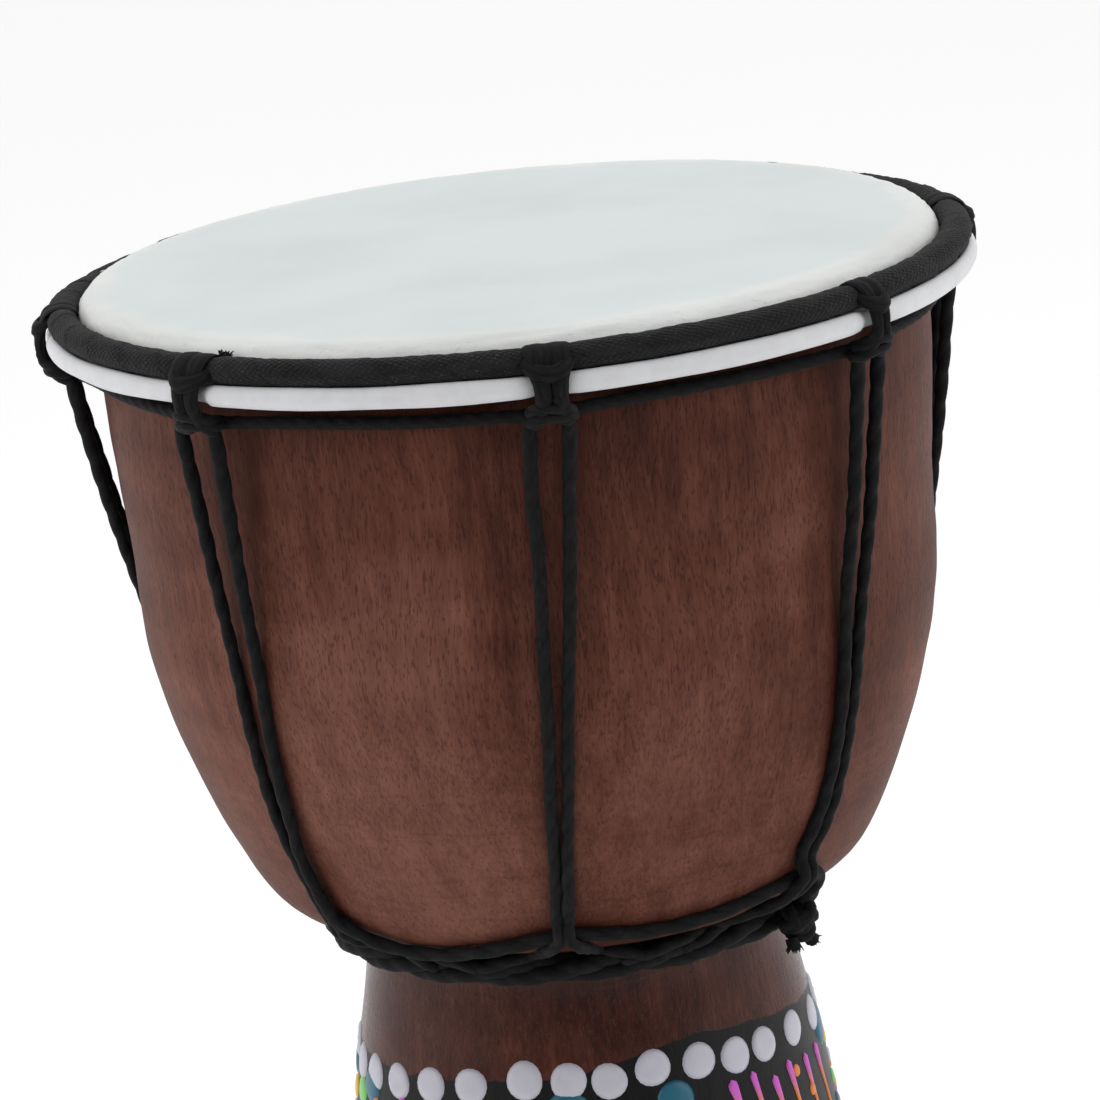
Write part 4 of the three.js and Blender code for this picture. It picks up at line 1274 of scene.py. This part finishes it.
def dome(b, az, z, r, color, h=None, ring=5, seg=18, squash=1.0, seed=0, ripple=0.0):
    """A blob of thick paint."""
    g = np.random.default_rng(seed)
    h = (0.16 + 0.10 * r) if h is None else h
    t = np.linspace(0, TAU, seg, endpoint=False)
    wob = 1 + 0.025 * np.cos(2 * t + g.uniform(0, TAU)) + 0.018 * np.cos(3 * t + g.uniform(0, TAU))
    rho = np.linspace(1, 0, ring + 1)[:-1]
    rr0 = float(wood_r(z))
    rows = []
    for k, q in enumerate([1.0] + list(rho)):
        hh = -0.25 if k == 0 else h * (1 - q ** 2.6) ** 0.55 + (0.0 if q < 1 else 0.0)
        if ripple and k > 0:
            hh -= ripple * math.exp(-(((q - 0.28) / 0.16) ** 2))
        q2 = q if k else 1.0
        u = q2 * r * wob * np.cos(t)
        v = q2 * r * wob * squash * np.sin(t)
        rows.append(on_shell(az + np.degrees(u / rr0), z + v, hh))
    P = np.array(rows)
    n = b.n
    b.grid(P, False, True, None, None, 0, flip=False, paint=np.broadcast_to(color, (len(rows), seg, 3)))
    b.add([on_shell(az, z, h * (1 - 0.0) - ripple * 0.1)], [], paint=np.array([color]))
    c = b.n - 1
    last = n + (len(rows) - 1) * seg
    for j in range(seg):
        j2 = (j + 1) % seg
        b.f.append([last + j, c, last + j2])
        b.uv.append([(0, 0)] * 3)
        b.mat.append(0)


def stroke(b, az0, z0, az1, z1, w0, w1, c0, c1, bend=0.0, n=22, seg=9):
    """A tapering stroke of thick paint with a round head."""
    s = np.linspace(0, 1, n)
    L = math.hypot(math.radians(az1 - az0) * 27.5, z1 - z0)
    dirv = np.array([math.radians(az1 - az0) * 27.5, z1 - z0]) / L
    nor = np.array([-dirv[1], dirv[0]])
    rows, cols = [], []
    head = w0 / L
    for k, q in enumerate(s):
        w = w0 + (w1 - w0) * smoothstep(0.0, 0.55, q)
        if q < head:
            w = w0 * math.sqrt(max(1 - ((head - q) / head) ** 2, 0.0)) + 0.02
        if q > 1 - 0.03:
            w *= max(0.15, (1 - q) / 0.03)
        c = np.array([math.radians(az0) * 27.5, z0]) + dirv * L * q + nor * bend * math.sin(math.pi * q)
        across = np.linspace(-1, 1, seg)
        hh = (0.10 + 0.30 * w) * np.sqrt(np.clip(1 - across ** 2, 0, 1)) - 0.03
        hh[0] = hh[-1] = -0.2
        pts = c[None, :] + nor[None, :] * (across * w)[:, None]
        rows.append(on_shell(np.degrees(pts[:, 0] / 27.5), pts[:, 1], hh))
        f = float(smoothstep(0.10, 0.55, q))
        # one side of each stroke stays more orange, as two wet colours drawn together
        mixc = [np.array(c0) * (1 - g2) + np.array(c1) * g2 for g2 in np.clip(f + 0.55 * smoothstep(-0.1, 0.9, across * -1) * (0.35 + f), 0, 1)]
        cols.append(mixc)
    b.grid(np.array(rows), False, False, None, None, 0, flip=False, paint=np.array(cols))


def build_paint():
    b = Build()
    k = 0
    # the row of big white dots round the top of the band
    spec = dict(dots_z)
    fixed = sorted(spec)
    rest = list(np.arange(90.4, 270, 11.97))
    g = np.random.default_rng(90)
    tops = [(a, spec[a], True) for a in fixed] + [(a, 109.2 + g.uniform(-0.7, 0.8), False) for a in rest]
    for a, z, _ in tops:
        k += 1
        r = 2.08 + (g.uniform(-0.10, 0.08) if _ is False else 0.0)
        if -20 < a < -10:
            r = 2.14
        dome(b, a, z, r, WHITE, squash=1.0 + 0.03 * math.sin(a), seed=k, ripple=0.10 if k % 3 == 0 else 0.0)

    # eight fields under it: rosettes and fans of strokes by turns
    for q in range(4):
        base = 90 * q
        # rosette: two big teal dots with green between them, then a ring of dots
        for da, dz, r, c in ((-6.7, -3.4, 2.7, TEAL), (20.1, -3.4, 2.2, TEAL), (12.4, -5.0, 1.65, GREEN), (2.4, -6.0, 1.5, YELLOW)):
            k += 1
            dome(b, base + da, 109.6 + dz, r, c, seed=k)
        cz, ca = 96.5, base + 7.0
        for m in range(12):
            t = TAU * m / 12
            rr = 6.0
            k += 1
            dome(b, ca + math.degrees(rr * math.sin(t) / 28), cz + rr * math.cos(t) * 0.86, 0.95, (TEAL, GREEN, WHITE)[m % 3], seed=k)
        for m in range(8):
            t = TAU * (m + 0.5) / 8
            rr = 3.3
            k += 1
            dome(b, ca + math.degrees(rr * math.sin(t) / 28), cz + rr * math.cos(t), 0.85, ORANGE if m % 2 else YELLOW, seed=k)
        k += 1
        dome(b, ca, cz, 1.6, PINK, seed=k)
        # fan of strokes
        for a0, z0, a1, z1, w in ((35.7, 106.6, 40.0, 97.5, 0.80), (42.6, 106.7, 46.2, 96.8, 0.55), (49.8, 105.2, 53.0, 95.8, 0.62), (56.4, 106.0, 59.6, 95.4, 0.62),
                                  (65.1, 105.4, 67.6, 94.8, 0.62), (73.4, 105.3, 76.0, 95.0, 0.62)):
            stroke(b, base + a0, z0, base + a1, z1, w, 0.30, PINK, ORANGE)
        k += 1
        dome(b, base - 67.1 + 90, 0, 0.01, ORANGE, seed=k) if False else None
    # small orange dots between strokes and rosettes
    for q in range(4):
        for a, z in ((-67.1, 104.6), (-30.5, 104.2), (-24.5, 101.0)):
            k += 1
            dome(b, 90 * q + a, z, 0.72, ORANGE, seed=k) if (a + 90 * q) % 360 not in () else None

    # middle: two rows of white dots with a wavering line of colour between them
    for a in np.arange(0, 360, 8.0):
        k += 1
        dome(b, a, 86.5, 1.15, WHITE, seed=k)
    wave_c = (TEAL, GREEN, YELLOW, ORANGE)
    for n, a in enumerate(np.arange(0, 360, 4.5)):
        k += 1
        dome(b, a, 78.0 + 3.6 * math.sin(math.radians(a * 8)), 0.82, wave_c[(n // 5) % 4], seed=k, ring=4, seg=14)
    for a in np.arange(4, 364, 8.0):
        k += 1
        dome(b, a, 69.5, 1.15, WHITE, seed=k)
    # lower field: big rosettes and fans
    for q in range(6):
        ca, cz = 60 * q + 18.0, 46.0
        k += 1
        dome(b, ca, cz, 2.3, (PINK, ORANGE, TEAL)[q % 3], seed=k)
        for m in range(10):
            t = TAU * m / 10
            k += 1
            dome(b, ca + math.degrees(4.9 * math.sin(t) / 33), cz + 4.9 * math.cos(t), 1.05, (YELLOW, GREEN)[m % 2], seed=k)
        for m in range(16):
            t = TAU * m / 16
            k += 1
            dome(b, ca + math.degrees(8.3 * math.sin(t) / 33), cz + 8.3 * math.cos(t), 1.0, (TEAL, WHITE)[m % 2], seed=k)
        for m, a in enumerate(np.linspace(-6.5, 6.5, 4)):
            stroke(b, ca + 30 + a, 56.0 - (m % 2) * 1.2, ca + 30 + a * 0.9, 37.5, 0.72, 0.30, PINK, ORANGE)
        k += 1
        dome(b, ca + 30, 32.8, 1.3, TEAL, seed=k)
        dome(b, ca + 30, 60.8, 1.2, GREEN, seed=k)
    for a in np.arange(0, 360, 7.5):
        k += 1
        dome(b, a, 25.0, 1.25, WHITE, seed=k)
    for n, a in enumerate(np.arange(0, 360, 5.0)):
        k += 1
        dome(b, a, 18.0, 0.85, wave_c[n % 4], seed=k, ring=4, seg=14)
    for a in np.arange(3.75, 363, 7.5):
        k += 1
        dome(b, a, 11.0, 1.5, WHITE, seed=k)
    ob = b.mesh("foot_dot_painting", [PAINT])
    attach(ob, "root")
    return ob


build_paint()

# ------------------------------------------------------------------ stage
def build_floor():
    me = bpy.data.meshes.new("floor")
    R = 6.0
    n = 48
    vs = [(0, 0, -0.0004)] + [(R * math.cos(TAU * i / n), R * math.sin(TAU * i / n), -0.0004) for i in range(n)]
    me.from_pydata(vs, [], [(0, 1 + i, 1 + (i + 1) % n) for i in range(n)])
    w = Mat("pale_floor")
    shade = w.range(w.split(w.obj())[1], -0.25, -1.0, 0, 1, True)
    w.set("Base Color", w.mix(shade, (0.93, 0.93, 0.93), (0.42, 0.42, 0.42)))
    w.set("Roughness", 0.9)
    w.set("Specular IOR Level", 0.0)
    w.set("Emission Color", (1, 1, 1))
    w.set("Emission Strength", w.mixf(shade, 0.20, 0.0))
    me.materials.append(w.m)
    ob = bpy.data.objects.new("floor", me)
    bpy.context.scene.collection.objects.link(ob)


build_floor()

scene = bpy.context.scene
scene.view_settings.view_transform = "Standard"
scene.view_settings.look = "None"

world = bpy.data.worlds.new("studio")
scene.world = world
world.use_nodes = True
wn = world.node_tree
wn.nodes.clear()
wo = wn.nodes.new("ShaderNodeOutputWorld")
wb = wn.nodes.new("ShaderNodeBackground")
wb.inputs[0].default_value = (1, 1, 1, 1)
wn.links.new(wb.outputs[0], wo.inputs[0])


def wnode(kind, ins, **kw):
    n = wn.nodes.new(kind)
    for k, v in kw.items():
        setattr(n, k, v)
    for i, v in ins.items():
        if hasattr(v, "is_output"):
            wn.links.new(v, n.inputs[i])
        else:
            n.inputs[i].default_value = v
    return n.outputs[0]


# white walls at the sides and above, a dark room behind the viewer
tc = wn.nodes.new("ShaderNodeTexCoord").outputs["Generated"]
sep = wn.nodes.new("ShaderNodeSeparateXYZ")
wn.links.new(tc, sep.inputs[0])
front = wnode("ShaderNodeMapRange", {0: sep.outputs[1], 1: -0.35, 2: -0.85, 3: 0.0, 4: 1.0}, interpolation_type="SMOOTHSTEP")
level = wnode("ShaderNodeMapRange", {0: sep.outputs[2], 1: 0.88, 2: 0.50, 3: 0.0, 4: 1.0}, interpolation_type="SMOOTHSTEP")
dark = wnode("ShaderNodeMath", {0: front, 1: level}, operation="MULTIPLY")
up = wnode("ShaderNodeMapRange", {0: sep.outputs[2], 1: 0.2, 2: 0.8, 3: 1.05, 4: 0.80}, interpolation_type="SMOOTHSTEP")
strength = wnode("ShaderNodeMath", {0: up, 1: wnode("ShaderNodeMapRange", {0: dark, 1: 0.0, 2: 1.0, 3: 1.0, 4: 0.22})}, operation="MULTIPLY")
wn.links.new(strength, wb.inputs[1])


def area(name, loc, target, size, power, color=(1, 1, 1)):
    L = bpy.data.lights.new(name, "AREA")
    L.shape = "RECTANGLE"
    L.size, L.size_y = size
    L.energy = power
    L.color = color
    ob = bpy.data.objects.new(name, L)
    scene.collection.objects.link(ob)
    ob.location = loc
    ob.rotation_euler = (Vector(target) - Vector(loc)).to_track_quat("-Z", "Y").to_euler()
    return ob


area("softbox_left", (-0.75, -0.35, 0.55), (0, 0, 0.14), (0.5, 0.8), 1.5)
area("softbox_right", (0.75, -0.35, 0.55), (0, 0, 0.14), (0.5, 0.8), 1.5)
area("softbox_top", (0.0, 0.1, 1.0), (0, 0, 0.2), (0.9, 0.9), 0.8)

# ------------------------------------------------------------------ camera
cam = bpy.data.cameras.new("camera")
cam.sensor_fit = "HORIZONTAL"
cam.sensor_width = 36.0
cam.lens = 200.2
cam.clip_start, cam.clip_end = 0.01, 50
cob = bpy.data.objects.new("camera", cam)
scene.collection.objects.link(cob)
Rv = Vector((0.99470816, -0.02706788, -0.09911112))
Fv = Vector((0.00199973, 0.96958893, -0.2447311))
Rv.normalize()
Fv.normalize()
Uv = Rv.cross(Fv).normalized()
M = Matrix((
    (Rv.x, Uv.x, -Fv.x, 0.0),
    (Rv.y, Uv.y, -Fv.y, -0.67266882),
    (Rv.z, Uv.z, -Fv.z, 0.33418326),
    (0, 0, 0, 1),
))
cob.matrix_world = M
scene.camera = cob
